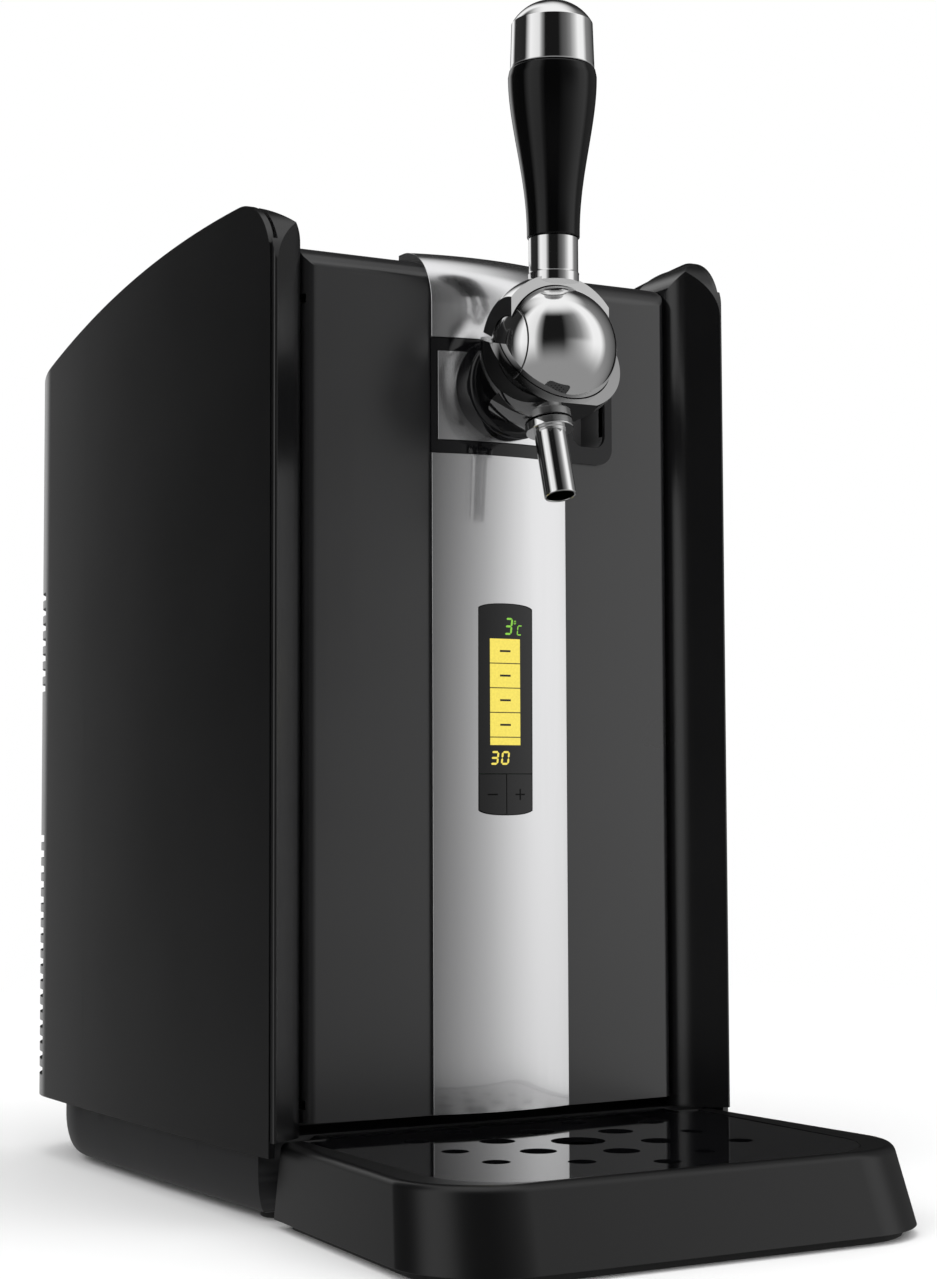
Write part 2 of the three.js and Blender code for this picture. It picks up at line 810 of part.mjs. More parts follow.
function fanFrame() {
  const half = fanSize / 2;
  const rear = fanFront + fanDepth;
  const body = block(-half, half, fanFront, rear, coolerHeight - half, coolerHeight + half)
    .subtract(rodY(fanBore, 0, bodyDepth, 0, coolerHeight));
  const struts = [0, 1].map((k) => {
    const bar = new THREE.BoxGeometry(fanSize, fanPlate, strutWall);
    bar.rotateY(Math.PI / 4 + (k * Math.PI) / 2).translate(0, rear - fanPlate / 2, coolerHeight);
    return solid(bar);
  });
  const hub = rodY(fanHubRadius, rear - fanPlate, rear, 0, coolerHeight, smallSides);
  const stubFront = fanFront + fanPlate + 2 * gap;
  const stub = rodY(fanStub, stubFront, rear - fanPlate / 2, 0, coolerHeight, smallSides);
  return joined([body, ...struts, hub, stub]);
}

function fanRotor() {
  const front = fanFront + gap;
  const rear = fanFront + fanDepth - fanPlate - gap;
  const parts = [rodY(fanHubRadius, front, rear, 0, coolerHeight, smallSides)];
  for (let i = 0; i < bladeCount; i++) {
    const tip = fanBore - gap - fanHubRadius / 2;
    const blade = new THREE.BoxGeometry(tip, bladeWall, (rear - front) * bladeDepthShare);
    blade.rotateX(Math.PI / 2).rotateX(THREE.MathUtils.degToRad(bladePitch));
    blade.translate(fanHubRadius / 2 + tip / 2, 0, 0);
    blade.rotateY((2 * Math.PI * i) / bladeCount).translate(0, (front + rear) / 2, coolerHeight);
    parts.push(solid(blade));
  }
  const bore = rodY(fanStub + gap, front + fanPlate, rear + overrun, 0, coolerHeight, smallSides);
  const keep = rodY(fanBore - 2 * gap, front, rear, 0, coolerHeight);
  return joined(parts).intersect(keep).subtract(bore);
}

// Air supply: pump with its motor in the plinth, hose up the back, coupling through the chamber wall
const serviceFloor = plinthBottom + plinthWall + gap;

function airPump() {
  const left = -pumpLeft;
  const head = block(
    left, left + pumpWidth, pumpFront, pumpFront + pumpDepth, serviceFloor, serviceFloor + pumpHeight,
  );
  const motor = rodY(
    motorRadius, pumpFront + pumpDepth - overrun, pumpFront + pumpDepth + motorLength,
    left + pumpWidth / 2, serviceFloor + pumpHeight / 2, smallSides,
  );
  return head.add(motor);
}

class HosePath extends THREE.Curve {
  constructor(corners) {
    super();
    this.path = new THREE.CurvePath();
    let start = corners[0];
    for (let i = 1; i < corners.length - 1; i++) {
      const before = corners[i - 1].clone().sub(corners[i]).setLength(hoseTurn).add(corners[i]);
      const after = corners[i + 1].clone().sub(corners[i]).setLength(hoseTurn).add(corners[i]);
      this.path.add(new THREE.LineCurve3(start, before));
      this.path.add(new THREE.QuadraticBezierCurve3(before, corners[i], after));
      start = after;
    }
    this.path.add(new THREE.LineCurve3(start, corners[corners.length - 1]));
  }

  getPoint(t) {
    return this.path.getPoint(t);
  }
}

const hoseX = -(pumpLeft - hoseRadius);
const hoseY = jacketRear + gap + hoseRadius;
const couplingEnd = jacketRear + gap + 2 * hoseRadius;

function airHose() {
  const startZ = serviceFloor + pumpHeight - hoseRadius - pumpHeight / 4;
  const startY = pumpFront + pumpDepth + gap;
  const corners = [
    new THREE.Vector3(hoseX, startY, startZ),
    new THREE.Vector3(hoseX, hoseY, startZ),
    new THREE.Vector3(hoseX, hoseY, couplingHeight),
    new THREE.Vector3(-couplingLeft - couplingFlange - gap, hoseY, couplingHeight),
  ];
  const ring = arcPoints(0, 0, hoseRadius, 0, 2 * Math.PI, hoseSides).slice(1);
  const geometry = new THREE.ExtrudeGeometry(outline(ring), {
    steps: hoseSteps, bevelEnabled: false, extrudePath: new HosePath(corners),
  });
  return solid(geometry);
}

function gasCoupling() {
  const front = linerFront + couplingSetback;
  const head = couplingRod(couplingFlange, jacketRear + gap, couplingEnd);
  return couplingRod(couplingRadius, front, couplingEnd).add(head)
    .subtract(couplingRod(couplingRadius / 2, 0, jacketRear));
}

function controlBoard() {
  const left = -pumpLeft + 2 * hoseRadius + gap;
  const front = jacketRear + gap;
  const standoff = 4 * gap;
  const sheet = block(
    left, left + mainBoardWidth, front + standoff, front + standoff + boardWall,
    mainBoardBottom, mainBoardBottom + mainBoardHeight,
  );
  const chipTop = front + standoff + boardWall + chipHeight;
  const parts = [sheet];
  for (const [u, v] of chipShares) {
    const x = left + mainBoardWidth * u;
    const z = mainBoardBottom + mainBoardHeight * v;
    parts.push(block(x, x + chipHeight, front + standoff, chipTop, z, z + 2 * chipHeight));
  }
  for (const [u, v] of standoffShares) {
    const x = left + mainBoardWidth * u;
    const z = mainBoardBottom + mainBoardHeight * v;
    parts.push(rodY(boardWall, front, front + standoff + boardWall, x, z, smallSides));
  }
  return joined(parts);
}

function powerSupply() {
  return block(
    supplyLeft, supplyLeft + supplyWidth, supplyFront, supplyFront + supplyDepth,
    serviceFloor, serviceFloor + supplyHeight,
  );
}

// Mains inlet with the rocker switch beside its socket, in one frame in the rear cover
const rockerX = inletLeft + inletWidth - inletMargin - rockerWidth;
const rockerZ = inletBottom + inletHeight / 2;

function mainsInlet() {
  const body = block(
    inletLeft + gap, inletLeft + inletWidth - gap, bodyDepth - inletDepth, bodyDepth - gap,
    inletBottom + gap, inletBottom + inletHeight - gap,
  );
  const flange = block(
    inletLeft - inletLip, inletLeft + inletWidth + inletLip,
    bodyDepth - panelWall - gap - inletLip, bodyDepth - panelWall - gap,
    inletBottom - inletLip, inletBottom + inletHeight + inletLip,
  );
  const socketZ = inletBottom + inletHeight / 2 - socketHeight / 2;
  const socketX = inletLeft + inletMargin;
  const hollow = block(
    socketX, socketX + socketWidth, bodyDepth - socketDepth, bodyDepth + overrun,
    socketZ, socketZ + socketHeight,
  );
  const pinHeight = socketHeight / 4;
  const pinPitch = socketWidth / (inletPinCount + 1);
  const pinPlaces = Array.from({ length: inletPinCount }, (_, k) => socketX + pinPitch * (k + 1));
  const pins = pinPlaces.map((x) => block(
    x - pinRadius / 2, x + pinRadius / 2, bodyDepth - socketDepth - gap, bodyDepth - socketDepth / 2,
    rockerZ - pinHeight / 2, rockerZ + pinHeight / 2,
  ));
  const well = block(
    rockerX - gap, rockerX + rockerWidth + gap, bodyDepth - rockerDepth - rockerGap - rockerHeight / 4,
    bodyDepth + overrun, rockerZ - rockerHeight / 2 - rockerGap, rockerZ + rockerHeight / 2 + rockerGap,
  );
  const pivotHole = rockerPivots(gap);
  return joined([body.add(flange).subtract(hollow).subtract(well).subtract(pivotHole), ...pins]);
}

// The rocker leans into its well: turned about its own axis it comes to the other side
const rockerLean = Math.tan(THREE.MathUtils.degToRad(rockerTilt)) * rockerHeight / 2;
const rockerAxis = bodyDepth - gap - rockerLean - rockerDepth / 2;

function rockerPivots(grow) {
  const reach = rockerPivot + grow;
  return rodX(reach, rockerX - reach, rockerX + rockerWidth + reach, rockerAxis, rockerZ, smallSides);
}

function rockerSwitch() {
  const half = rockerHeight / 2;
  const lean = rockerLean;
  const axis = rockerAxis;
  const face = axis + rockerDepth / 2;
  const shape = outline([
    [axis - rockerDepth / 2, rockerZ - half / 2],
    [face, rockerZ - half],
    [face, rockerZ],
    [face + lean, rockerZ + half],
    [axis - rockerDepth / 2, rockerZ + half / 2],
  ]);
  return extrudeX(shape, rockerX, rockerX + rockerWidth).add(rockerPivots(0));
}

// Door: a shell with a slightly swollen front and a rounded top, stepped in behind its flanges
function doorShape(inset, rear) {
  const half = doorWidth / 2 - inset;
  const radius = hingeInset - inset;
  const points = [];
  const flat = doorWidth / 2 - hingeInset;
  for (let i = 0; i <= arcSteps; i++) {
    const x = (flat * i) / arcSteps;
    points.push([x, arcDepth(x, flat, doorFront, doorRise) + inset]);
  }
  points.push(...arcPoints(flat, doorFront + hingeInset, radius, -Math.PI / 2, 0, cornerSteps).slice(1));
  points.push([half, flangeDepth - inset]);
  points.push([innerDoorHalf - inset, flangeDepth - inset]);
  points.push([innerDoorHalf - inset, rear]);
  return outline(mirrored(points));
}

function doorSide(inset, rear) {
  const front = doorCrest + inset;
  const top = doorTop - inset;
  const radius = doorTopRadius - inset;
  return outline([
    [front, doorBottom + inset],
    ...arcPoints(front + radius, top - radius, radius, Math.PI, Math.PI / 2, cornerSteps),
    [rear, top],
    [rear, doorBottom + inset],
  ]);
}

function doorBody(inset, rear) {
  const plan = extrudeZ(doorShape(inset, rear), doorBottom - overrun, doorTop + overrun);
  return plan.intersect(extrudeX(doorSide(inset, rear), -doorWidth, doorWidth));
}

// Room that the fixed hinge arms need inside the door while it swings
function hingeSlots() {
  return [lowerArmHeight, upperArmHeight].map((z) => {
    const room = armThickness / 2 + hingeClearance;
    return block(
      -doorWidth, pinX + eyeRadius + hingeClearance, pinY - eyeRadius - gap, bodyDepth,
      z - room, z + room,
    );
  });
}

function pinBores() {
  return [lowerArmHeight, upperArmHeight].map((z) => {
    const reach = armThickness / 2 + hingeClearance + pivotBossHeight - gap;
    return rodZ(pinRadius + gap, z - reach, z + reach, pinX, pinY, smallSides);
  });
}

const doorSolid = doorBody(0, doorRear);
const doorSeat = doorSolid.translate([0, -stripSeatGap, 0]).add(doorSolid.translate([0, 0, stripSeatGap]));
const shankHole = rodY(shankRadius + gap, -tapReach, bodyDepth, 0, shankHeight);

function cupOutline(grow) {
  const corner = pocketCorner + grow;
  return roundedRect(
    pocketLeft - grow, pocketLeft + pocketWidth + grow, pocketBottom - grow, pocketTop + grow,
    [corner, corner, corner, corner],
  );
}

function doorOuterPanel() {
  const shell = doorSolid.subtract(doorBody(doorWall, doorRear + overrun));
  const bosses = [lowerArmHeight, upperArmHeight].map((z) => {
    const reach = armThickness / 2 + hingeClearance + pivotBossHeight;
    return block(
      doorWall / 2 - doorWidth / 2, pinX + pivotBossWidth, doorFront + doorWall / 2, pinY + pivotBossDepth,
      Math.max(z - reach, doorBottom), z + reach,
    );
  });
  const cupHole = extrudeY(cupOutline(pocketWall + gap), 0, doorRear);
  const cutters = [...hingeSlots(), ...pinBores(), shankHole, cupHole];
  const raw = joined([shell, ...bosses.map((boss) => boss.intersect(doorSolid))]);
  return cutters.reduce((body, cutter) => body.subtract(cutter), raw);
}

const doorInnerHalf = innerDoorHalf - doorWall - gap;

function doorLiner() {
  const z0 = doorBottom + doorWall + gap;
  const z1 = doorTop - doorWall - gap;
  const plate = block(-doorInnerHalf, doorInnerHalf, doorRear - doorLinerWall, doorRear, z0, z1);
  return hingeSlots().reduce((body, cutter) => body.subtract(cutter), plate).subtract(shankHole);
}

function doorFoam() {
  const rear = doorRear - doorLinerWall - gap;
  const half = doorInnerHalf - pivotBossWidth - doorWall;
  return block(-half, half, rear - doorFoamWall, rear, chamberFloor, bezelBottom - doorFoamWall);
}

function doorGasket() {
  const openHalf = chamberWidth / 2 - openingLip + gap;
  const openBottom = chamberFloor + openingLip - gap;
  const openTop = chamberCeiling - openingLip + gap;
  const front = doorRear + gap;
  const rear = bulkheadFront - gap;
  const outer = block(
    -openHalf - gasketWidth, openHalf + gasketWidth, front, rear,
    openBottom - gasketWidth, openTop + gasketWidth,
  );
  return outer.subtract(block(-openHalf, openHalf, 0, bodyDepth, openBottom, openTop));
}

function doorMagnet() {
  return block(
    magnetLeft, magnetLeft + magnetWidth, doorRear + gap, bulkheadFront - gap,
    magnetBottom, magnetBottom + magnetHeight,
  );
}

function strikePlate() {
  return block(
    magnetLeft, magnetLeft + magnetWidth, bulkheadFront, bulkheadFront + strikeWall,
    magnetBottom, magnetBottom + magnetHeight,
  );
}

// Hinge: arms that reach forward from the bulkhead, and the pins that stand in them
function hingeArm(z) {
  const half = armThickness / 2;
  const bar = block(pinX - armWidth / 2, pinX + armWidth / 2, pinY, bulkheadFront - gap, z - half, z + half);
  const eye = rodZ(eyeRadius, z - half, z + half, pinX, pinY, smallSides);
  return bar.add(eye).subtract(rodZ(pinRadius + gap, 0, bodyHeight, pinX, pinY, smallSides));
}

function hingePin(z) {
  const reach = armThickness / 2 + hingeClearance + pivotBossHeight - 2 * gap;
  return rodZ(pinRadius, z - reach, z + reach, pinX, pinY, smallSides);
}

// Bright strip: a shallow arc in plan that wraps over the door's top edge
function stripShape(inset, rear) {
  const half = stripWidth / 2;
  const points = [];
  for (let i = 0; i <= arcSteps; i++) {
    const x = (half * i) / arcSteps;
    points.push([Math.min(x, half - inset), arcDepth(x, half, stripEdge, stripRise) + inset]);
  }
  points.push([half - inset, rear]);
  return outline(mirrored(points));
}

function stripBody(inset, z0, z1, rear = doorFront) {
  return extrudeZ(stripShape(inset, rear), z0, z1);
}

function stripSide(inset) {
  const front = stripCrest + inset;
  const radius = stripTopRadius - inset;
  const top = stripTop - inset;
  return outline([
    [front, 0],
    ...arcPoints(front + radius, top - radius, radius, Math.PI, Math.PI / 2, arcSteps),
    [doorRear - inset, top],
    [doorRear - inset, 0],
  ]);
}

function stripLower() {
  const z0 = doorBottom + gap;
  const z1 = bezelBottom - gap;
  const shell = stripBody(0, z0, z1).subtract(stripBody(stripWall, z0 - overrun, z1 + overrun));
  return shell.subtract(doorSeat).subtract(extrudeY(displayShape(0), 0, doorFront));
}

function stripUpper() {
  const z0 = bezelTop + gap;
  const outer = stripBody(0, z0, bodyHeight, doorRear)
    .intersect(extrudeX(stripSide(0), -stripWidth, stripWidth));
  const inner = stripBody(stripWall, z0 - overrun, bodyHeight, doorRear)
    .intersect(extrudeX(stripSide(stripWall), -stripWidth, stripWidth));
  return outer.subtract(inner).subtract(doorSeat);
}

function tapPlateOutline(inset) {
  const half = tapPlateWidth / 2 - inset;
  return roundedRect(-half, half, tapPlateBottom + inset, tapPlateTop - inset, [0, 0, 0, 0]);
}

function tapBezel() {
  const left = -stripWidth / 2;
  const frame = roundedRect(left, bezelRight, bezelBottom, bezelTop, [0, bezelCorner, bezelCorner, 0]);
  const arch = stripBody(0, bezelBottom, bezelTop).translate([0, bezelSunk, 0]);
  const wing = block(stripWidth / 2 - overrun, bezelRight, bezelFlat, doorRear, bezelBottom, bezelTop);
  return arch.add(wing).intersect(extrudeY(frame, 0, doorRear))
    .subtract(extrudeY(tapPlateOutline(0), 0, doorRear))
    .subtract(extrudeY(cupOutline(0), 0, doorRear))
    .subtract(doorSeat);
}

function stripTapPlate() {
  return stripBody(0, bezelBottom, bezelTop).intersect(extrudeY(tapPlateOutline(gap), 0, doorRear))
    .subtract(doorSeat).subtract(shankHole);
}

function doorPullCup() {
  const rear = doorFront + pocketDepth;
  const cup = extrudeY(cupOutline(pocketWall), 0, rear).intersect(doorSolid);
  return cup.subtract(extrudeY(cupOutline(0), 0, rear - pocketWall));
}

// Display window with the two buttons under it, all flush with the strip
function displayShape(inset) {
  const half = displayWidth / 2 - inset;
  const bottom = displayBottom + inset;
  const top = displayTop - inset;
  const shape = new THREE.Shape();
  shape.moveTo(half, bottom + displayArch);
  shape.lineTo(half, top - displayArch);
  shape.quadraticCurveTo(half - displayCorner, top, 0, top);
  shape.quadraticCurveTo(displayCorner - half, top, -half, top - displayArch);
  shape.lineTo(-half, bottom + displayArch);
  shape.quadraticCurveTo(displayCorner - half, bottom, 0, bottom);
  shape.quadraticCurveTo(half - displayCorner, bottom, half, bottom + displayArch);
  return shape;
}

function displayField(x0, x1, z0, z1) {
  const skin = stripBody(0, displayBottom, displayTop)
    .subtract(stripBody(displayWall, displayBottom - overrun, displayTop + overrun));
  return skin.intersect(extrudeY(displayShape(gap), 0, doorFront))
    .intersect(block(x0, x1, 0, doorFront, z0, z1));
}

function displayBoard() {
  const half = displayWidth / 2 - boardInset;
  const rear = doorCrest - stripSeatGap;
  return block(
    -half, half, rear - boardWall, rear, displayBottom + boardHeightMargin, displayTop - boardHeightMargin,
  );
}

// Tap, about the ball's centre
function wedge(fromAngle, toAngle, reach) {
  const start = THREE.MathUtils.degToRad(-fromAngle);
  const end = THREE.MathUtils.degToRad(-toAngle);
  const fan = arcPoints(0, 0, reach, start, end, arcSteps).map(([y, z]) => [-y, z]);
  return extrudeX(outline([[0, 0], ...fan]), -reach, reach);
}

function leaned(geometry) {
  geometry.rotateX(THREE.MathUtils.degToRad(-spoutLean));
  return solid(geometry.translate(0, spoutSetback, -spoutDrop));
}

function tapSocket() {
  const inner = ball(ballRadius + ballClearance);
  const cup = ball(socketRadius).intersect(wedge(socketFrontAngle, socketRearAngle, 2 * socketRadius));
  const boss = rodY(bossRadius, 0, tapReach - flangeFront - gap, 0, -shankDrop);
  const cone = leaned(
    new THREE.CylinderGeometry(coneTopRadius, collarRadius, spoutDrop - coneTopDrop, roundSides)
      .rotateX(Math.PI / 2).translate(0, 0, (spoutDrop - coneTopDrop) / 2),
  );
  const below = leaned(
    new THREE.BoxGeometry(coneTrim, coneTrim, socketRadius)
      .translate(0, 0, gap - socketRadius / 2),
  );
  const outlet = leaned(
    new THREE.CylinderGeometry(beerBore, beerBore, socketRadius, smallSides).rotateX(Math.PI / 2),
  );
  const rear = block(
    -2 * socketRadius, 2 * socketRadius, tapReach - flangeFront - gap, 2 * socketRadius,
    -2 * socketRadius, 2 * socketRadius,
  );
  const feed = rodY(shankBore, 0, tapReach, 0, -shankDrop, smallSides);
  return joined([cup, boss, cone]).subtract(inner).subtract(below)
    .subtract(outlet).subtract(rear).subtract(feed);
}

function sideFace(grow) {
  return ballRadius - sideCapSetback + grow;
}

function tapBall() {
  const face = sideFace(0);
  const slab = block(-face, face, -ballRadius, ballRadius, -ballRadius, ballRadius);
  return ball(ballRadius).intersect(slab).subtract(rodX(pivotRadius + gap, -face, face, 0, 0, smallSides));
}

function tapSideCap(side) {
  const face = sideFace(gap);
  const room = ballRadius - pivotEndWall;
  const keep = side > 0
    ? block(face, ballRadius, -ballRadius, ballRadius, -ballRadius, ballRadius)
    : block(-ballRadius, -face, -ballRadius, ballRadius, -ballRadius, ballRadius);
  const bore = rodX(pivotRadius + gap, -room, room, 0, 0, smallSides);
  return ball(ballRadius).intersect(keep).subtract(bore);
}

function pivotShaft() {
  const reach = ballRadius - pivotEndWall - gap;
  return rodX(pivotRadius, -reach, reach, 0, 0, smallSides);
}

function tapSaddle() {
  const reach = 2 * saddleRadius;
  const shell = ball(saddleRadius).subtract(ball(ballRadius + ballClearance));
  const band = shell
    .intersect(block(-saddleHalfWidth, saddleHalfWidth, -saddleFront, reach, 0, reach))
    .intersect(wedge(saddleRearAngle, saddleFrontAngle, reach));
  const collar = rodZ(neckRadius + gap, saddleRadius - saddleCollarDepth, neckBottom - gap);
  const bore = rodZ(studRadius + gap, 0, reach, 0, 0, smallSides);
  return band.add(collar.subtract(ball(saddleRadius - ballClearance))).subtract(bore);
}

// The neck runs on as a stud through the saddle below it and the grip and cap above it
function handleNeck() {
  const studTop = capBottom + capLength / 2 - gap;
  const stud = rodZ(studRadius, ballRadius + 2 * ballClearance, studTop, 0, 0, smallSides);
  return rodZ(neckRadius, neckBottom, neckTop).add(stud);
}

function handleGrip() {
  const shoulder = gripTop - gripChamfer;
  const profile = [[studRadius + gap, gripBottom], [gripBottomRadius, gripBottom]];
  for (let i = 1; i <= arcSteps; i++) {
    const t = i / arcSteps;
    const z = gripBottom + (shoulder - gripBottom) * t;
    const swell = THREE.MathUtils.smoothstep(t ** gripEase, 0, 1);
    const radius = gripBottomRadius + (gripTopRadius - gripBottomRadius) * swell;
    profile.push([radius, z]);
  }
  profile.push([capRadius + gap, gripTop], [studRadius + gap, gripTop], profile[0]);
  return turned(profile);
}

function handleCap() {
  const shoulder = capBottom + capLength - capDome;
  const sphere = (capTopRadius ** 2 + capDome ** 2) / (2 * capDome);
  const start = Math.acos(capTopRadius / sphere);
  const domeCentre = capBottom + capLength - sphere;
  const dome = arcPoints(0, domeCentre, sphere, start, Math.PI / 2, cornerSteps).slice(1, -1);
  const body = turned([
    [0, capBottom], [capRadius, capBottom], [capTopRadius, shoulder], ...dome, [0, capBottom + capLength],
  ]);
  return body.subtract(rodZ(studRadius + gap, 0, capBottom + capLength / 2, 0, 0, smallSides));
}

function tapFlange() {
  const front = tapReach - flangeFront;
  const disc = rodY(flangeRadius, front + flangeEdge, tapReach + stripEdge, 0, -shankDrop);
  const rim = new THREE.CylinderGeometry(flangeRadius, flangeRadius - flangeEdge, flangeEdge, roundSides);
  const nose = solid(rim.translate(0, front + flangeEdge / 2, -shankDrop));
  const seat = stripBody(0, -bodyHeight, bodyHeight).translate([0, tapReach - gap, 0]);
  const bore = rodY(shankRadius + gap, 0, 2 * tapReach, 0, -shankDrop);
  return disc.add(nose).subtract(seat).subtract(bore);
}

function tapShank() {
  const front = tapReach - flangeFront;
  const barrel = rodY(shankRadius, front, tapReach + shankRear, 0, -shankDrop);
  return barrel.subtract(rodY(shankBore, 0, tapReach + shankRear + overrun, 0, -shankDrop, smallSides));
}

function valvePlunger() {
  const rod = rodY(plungerRadius, ballRadius, tapReach + plungerRear, 0, -shankDrop, smallSides);
  const headRadius = shankBore - gap;
  const head = rodY(
    headRadius, tapReach + plungerRear - plungerHead, tapReach + plungerRear, 0, -shankDrop, smallSides,
  );
  return rod.add(head);
}

// Spout in its own leaned frame: a collar under the socket and the tube
function spout() {
  const collar = rodZ(collarRadius, -collarHeight, 0);
  const tube = rodZ(spoutRadius, -spoutLength, -collarHeight / 2);
  return collar.add(tube).subtract(rodZ(spoutBore, -spoutLength - overrun, overrun));
}

// Drip tray: a tapered shell with a tongue that reaches under the door
function trayShape(inset) {
  const sideRear = trayRearWidth / 2 - inset;
  const sideFront = trayFrontWidth / 2 - inset;
  const radius = Math.max(trayCorner - inset, inset);
  const cornerY = trayCorner - trayReach;
  const right = [
    [trayTongueWidth / 2 - inset, trayTongue - inset],
    [trayTongueWidth / 2 - inset, trayRear - inset],
    [sideRear, trayRear - inset],
    ...arcPoints(sideFront - radius, cornerY, radius, 0, -Math.PI / 2, cornerSteps),
  ];
  return outline(mirrored(right));
}

// Draws a vertical extrusion in towards its top
function tapered(shape, z0, z1) {
  const geometry = extrude(shape, z1 - z0).translate(0, 0, z0);
  const places = geometry.getAttribute('position');
  for (let i = 0; i < places.count; i++) {
    const share = (places.getZ(i) - trayBottom) / (trayTop - trayBottom);
    const y = places.getY(i);
    places.setX(i, places.getX(i) * (1 - trayTaperX * share));
    places.setY(i, y < 0 ? y * (1 - trayTaperY * share) : y);
  }
  return solid(geometry);
}

function plateShape(inset) {
  const half = plateWidth / 2 - inset;
  const front = -plateReach + inset;
  const corner = plateCorner - inset;
  return roundedRect(-half, half, front, plateRear - inset, [corner, corner, 0, 0]);
}

// The tongue is narrower than the plate, so the plate's rear corners are cut back to fit it
function plateOutlineSolid(inset, z0, z1) {
  const body = extrudeZ(plateShape(inset), z0, z1);
  const cornerX = trayTongueWidth / 2 - ledgeWidth;
  const cuts = [-1, 1].map((side) => {
    const [x0, x1] = [side * (cornerX - inset), side * plateWidth].sort((a, b) => a - b);
    return block(x0, x1, trayRear - ledgeWidth - inset, trayTongue + overrun, z0 - overrun, z1 + overrun);
  });
  return cuts.reduce((sum, cut) => sum.subtract(cut), body);
}

function dripTray() {
  const outer = tapered(trayShape(0), trayBottom, trayTop);
  const recess = plateOutlineSolid(-gap, plateBottom - gap, trayTop + overrun);
  const basin = plateOutlineSolid(ledgeWidth, trayBottom + trayFloor, trayTop);
  const magnetRoom = block(
    -trayMagnetWidth / 2 - gap, trayMagnetWidth / 2 + gap,
    trayTongue - trayMagnetWall - gap, trayTongue + overrun,
    (trayBottom + trayTop - trayMagnetHeight) / 2 - gap, (trayBottom + trayTop + trayMagnetHeight) / 2 + gap,
  );
  return outer.subtract(recess).subtract(basin).subtract(magnetRoom);
}

function trayMagnet() {
  return block(
    -trayMagnetWidth / 2, trayMagnetWidth / 2, trayTongue - trayMagnetWall, trayTongue,
    (trayBottom + trayTop - trayMagnetHeight) / 2, (trayBottom + trayTop + trayMagnetHeight) / 2,
  );
}

function trayPad() {
  return extrudeZ(trayShape(trayPadInset), 0, trayPadHeight);
}

// Holes shrink away from the one under the spout; every second column is shifted half a pitch
function dripPlate() {
  const centreY = -tapReach - centreHoleSetback;
  const columns = [[0, 0, [-1, 0, 1, -2]], [1, 0.5, [-1, 0, 1, -2]], [2, 0, [-1, 0, 1]]];
  let plate = plateOutlineSolid(0, plateBottom, plateTop);
  for (const [column, shift, rows] of columns) {
    for (const row of rows) {
      const x = column * holePitchX;
      const y = centreY + (row + shift) * holePitchY;
      const reach = Math.hypot(column, row + shift);
      const diameter = reach === 0 ? centreHole : reach < innerHoleShare ? innerHole : outerHole;
      for (const side of column ? [-1, 1] : [1]) {
        plate = plate.subtract(rodZ(diameter / 2, 0, bodyHeight, side * x, y, smallSides));
      }
    }
  }
  return plate;
}

// Assembly: one group for each thing that moves
function group(parent, name) {
  const node = new THREE.Group();
  node.name = name;
  parent.add(node);
  return node;
}

const dispenser = new THREE.Group();
dispenser.name = 'mini_keg_dispenser';

function addHousing(parent) {
  piece(parent, 'base_plinth', basePlinth(), darkPlastic);
  const footX = bodyFrontWidth / 2 - plinthInset - 2 * footRadius;
  const footY = [sillFront + 2 * footRadius, bodyDepth - plinthCornerRadius + 2 * footRadius];
  for (const [row, y] of footY.entries()) {
    for (const side of [-1, 1]) {
      const name = `foot_${row ? 'rear' : 'front'}_${side < 0 ? 'left' : 'right'}`;
      piece(parent, name, foot(side * footX, y), rubber);
    }
  }
  piece(parent, 'side_panel_left', sidePanel(-1), satinBlack);
  piece(parent, 'side_panel_right', sidePanel(1), satinBlack);
  piece(parent, 'front_frame', frontFrame(), satinBlack);
  piece(parent, 'top_cover', topCover(), satinBlack);
  piece(parent, 'rear_cover', rearCover(), satinBlack);
  piece(parent, 'keg_chamber_liner', chamberLiner(), innerPlastic);
  piece(parent, 'insulation_jacket', insulationJacket(), foam);
  for (const [name, z] of [['lower', lowerArmHeight], ['upper', upperArmHeight]]) {
    piece(parent, `hinge_arm_${name}`, hingeArm(z), steel);
    piece(parent, `hinge_pin_${name}`, hingePin(z), steel);
  }
  piece(parent, 'strike_plate', strikePlate(), steel);
}

function addServices(parent) {
  piece(parent, 'cold_plate', coldPlate(), aluminium);
  piece(parent, 'thermoelectric_module', thermoModule(), ceramic);
  piece(parent, 'heat_sink', heatSink(), aluminium);
  piece(parent, 'fan_frame', fanFrame(), darkPlastic);
  piece(group(parent, 'fan'), 'fan_rotor', fanRotor(), darkPlastic);
  piece(parent, 'air_pump', airPump(), darkPlastic);
  piece(parent, 'air_hose', airHose(), hoseClear);
  piece(parent, 'gas_coupling', gasCoupling(), steel);
  piece(parent, 'control_board', controlBoard(), boardGreen);
  piece(parent, 'power_supply', powerSupply(), aluminium);
  piece(parent, 'mains_inlet', mainsInlet(), darkPlastic);
  piece(group(parent, 'switch'), 'power_switch', rockerSwitch(), glossBlack);
}

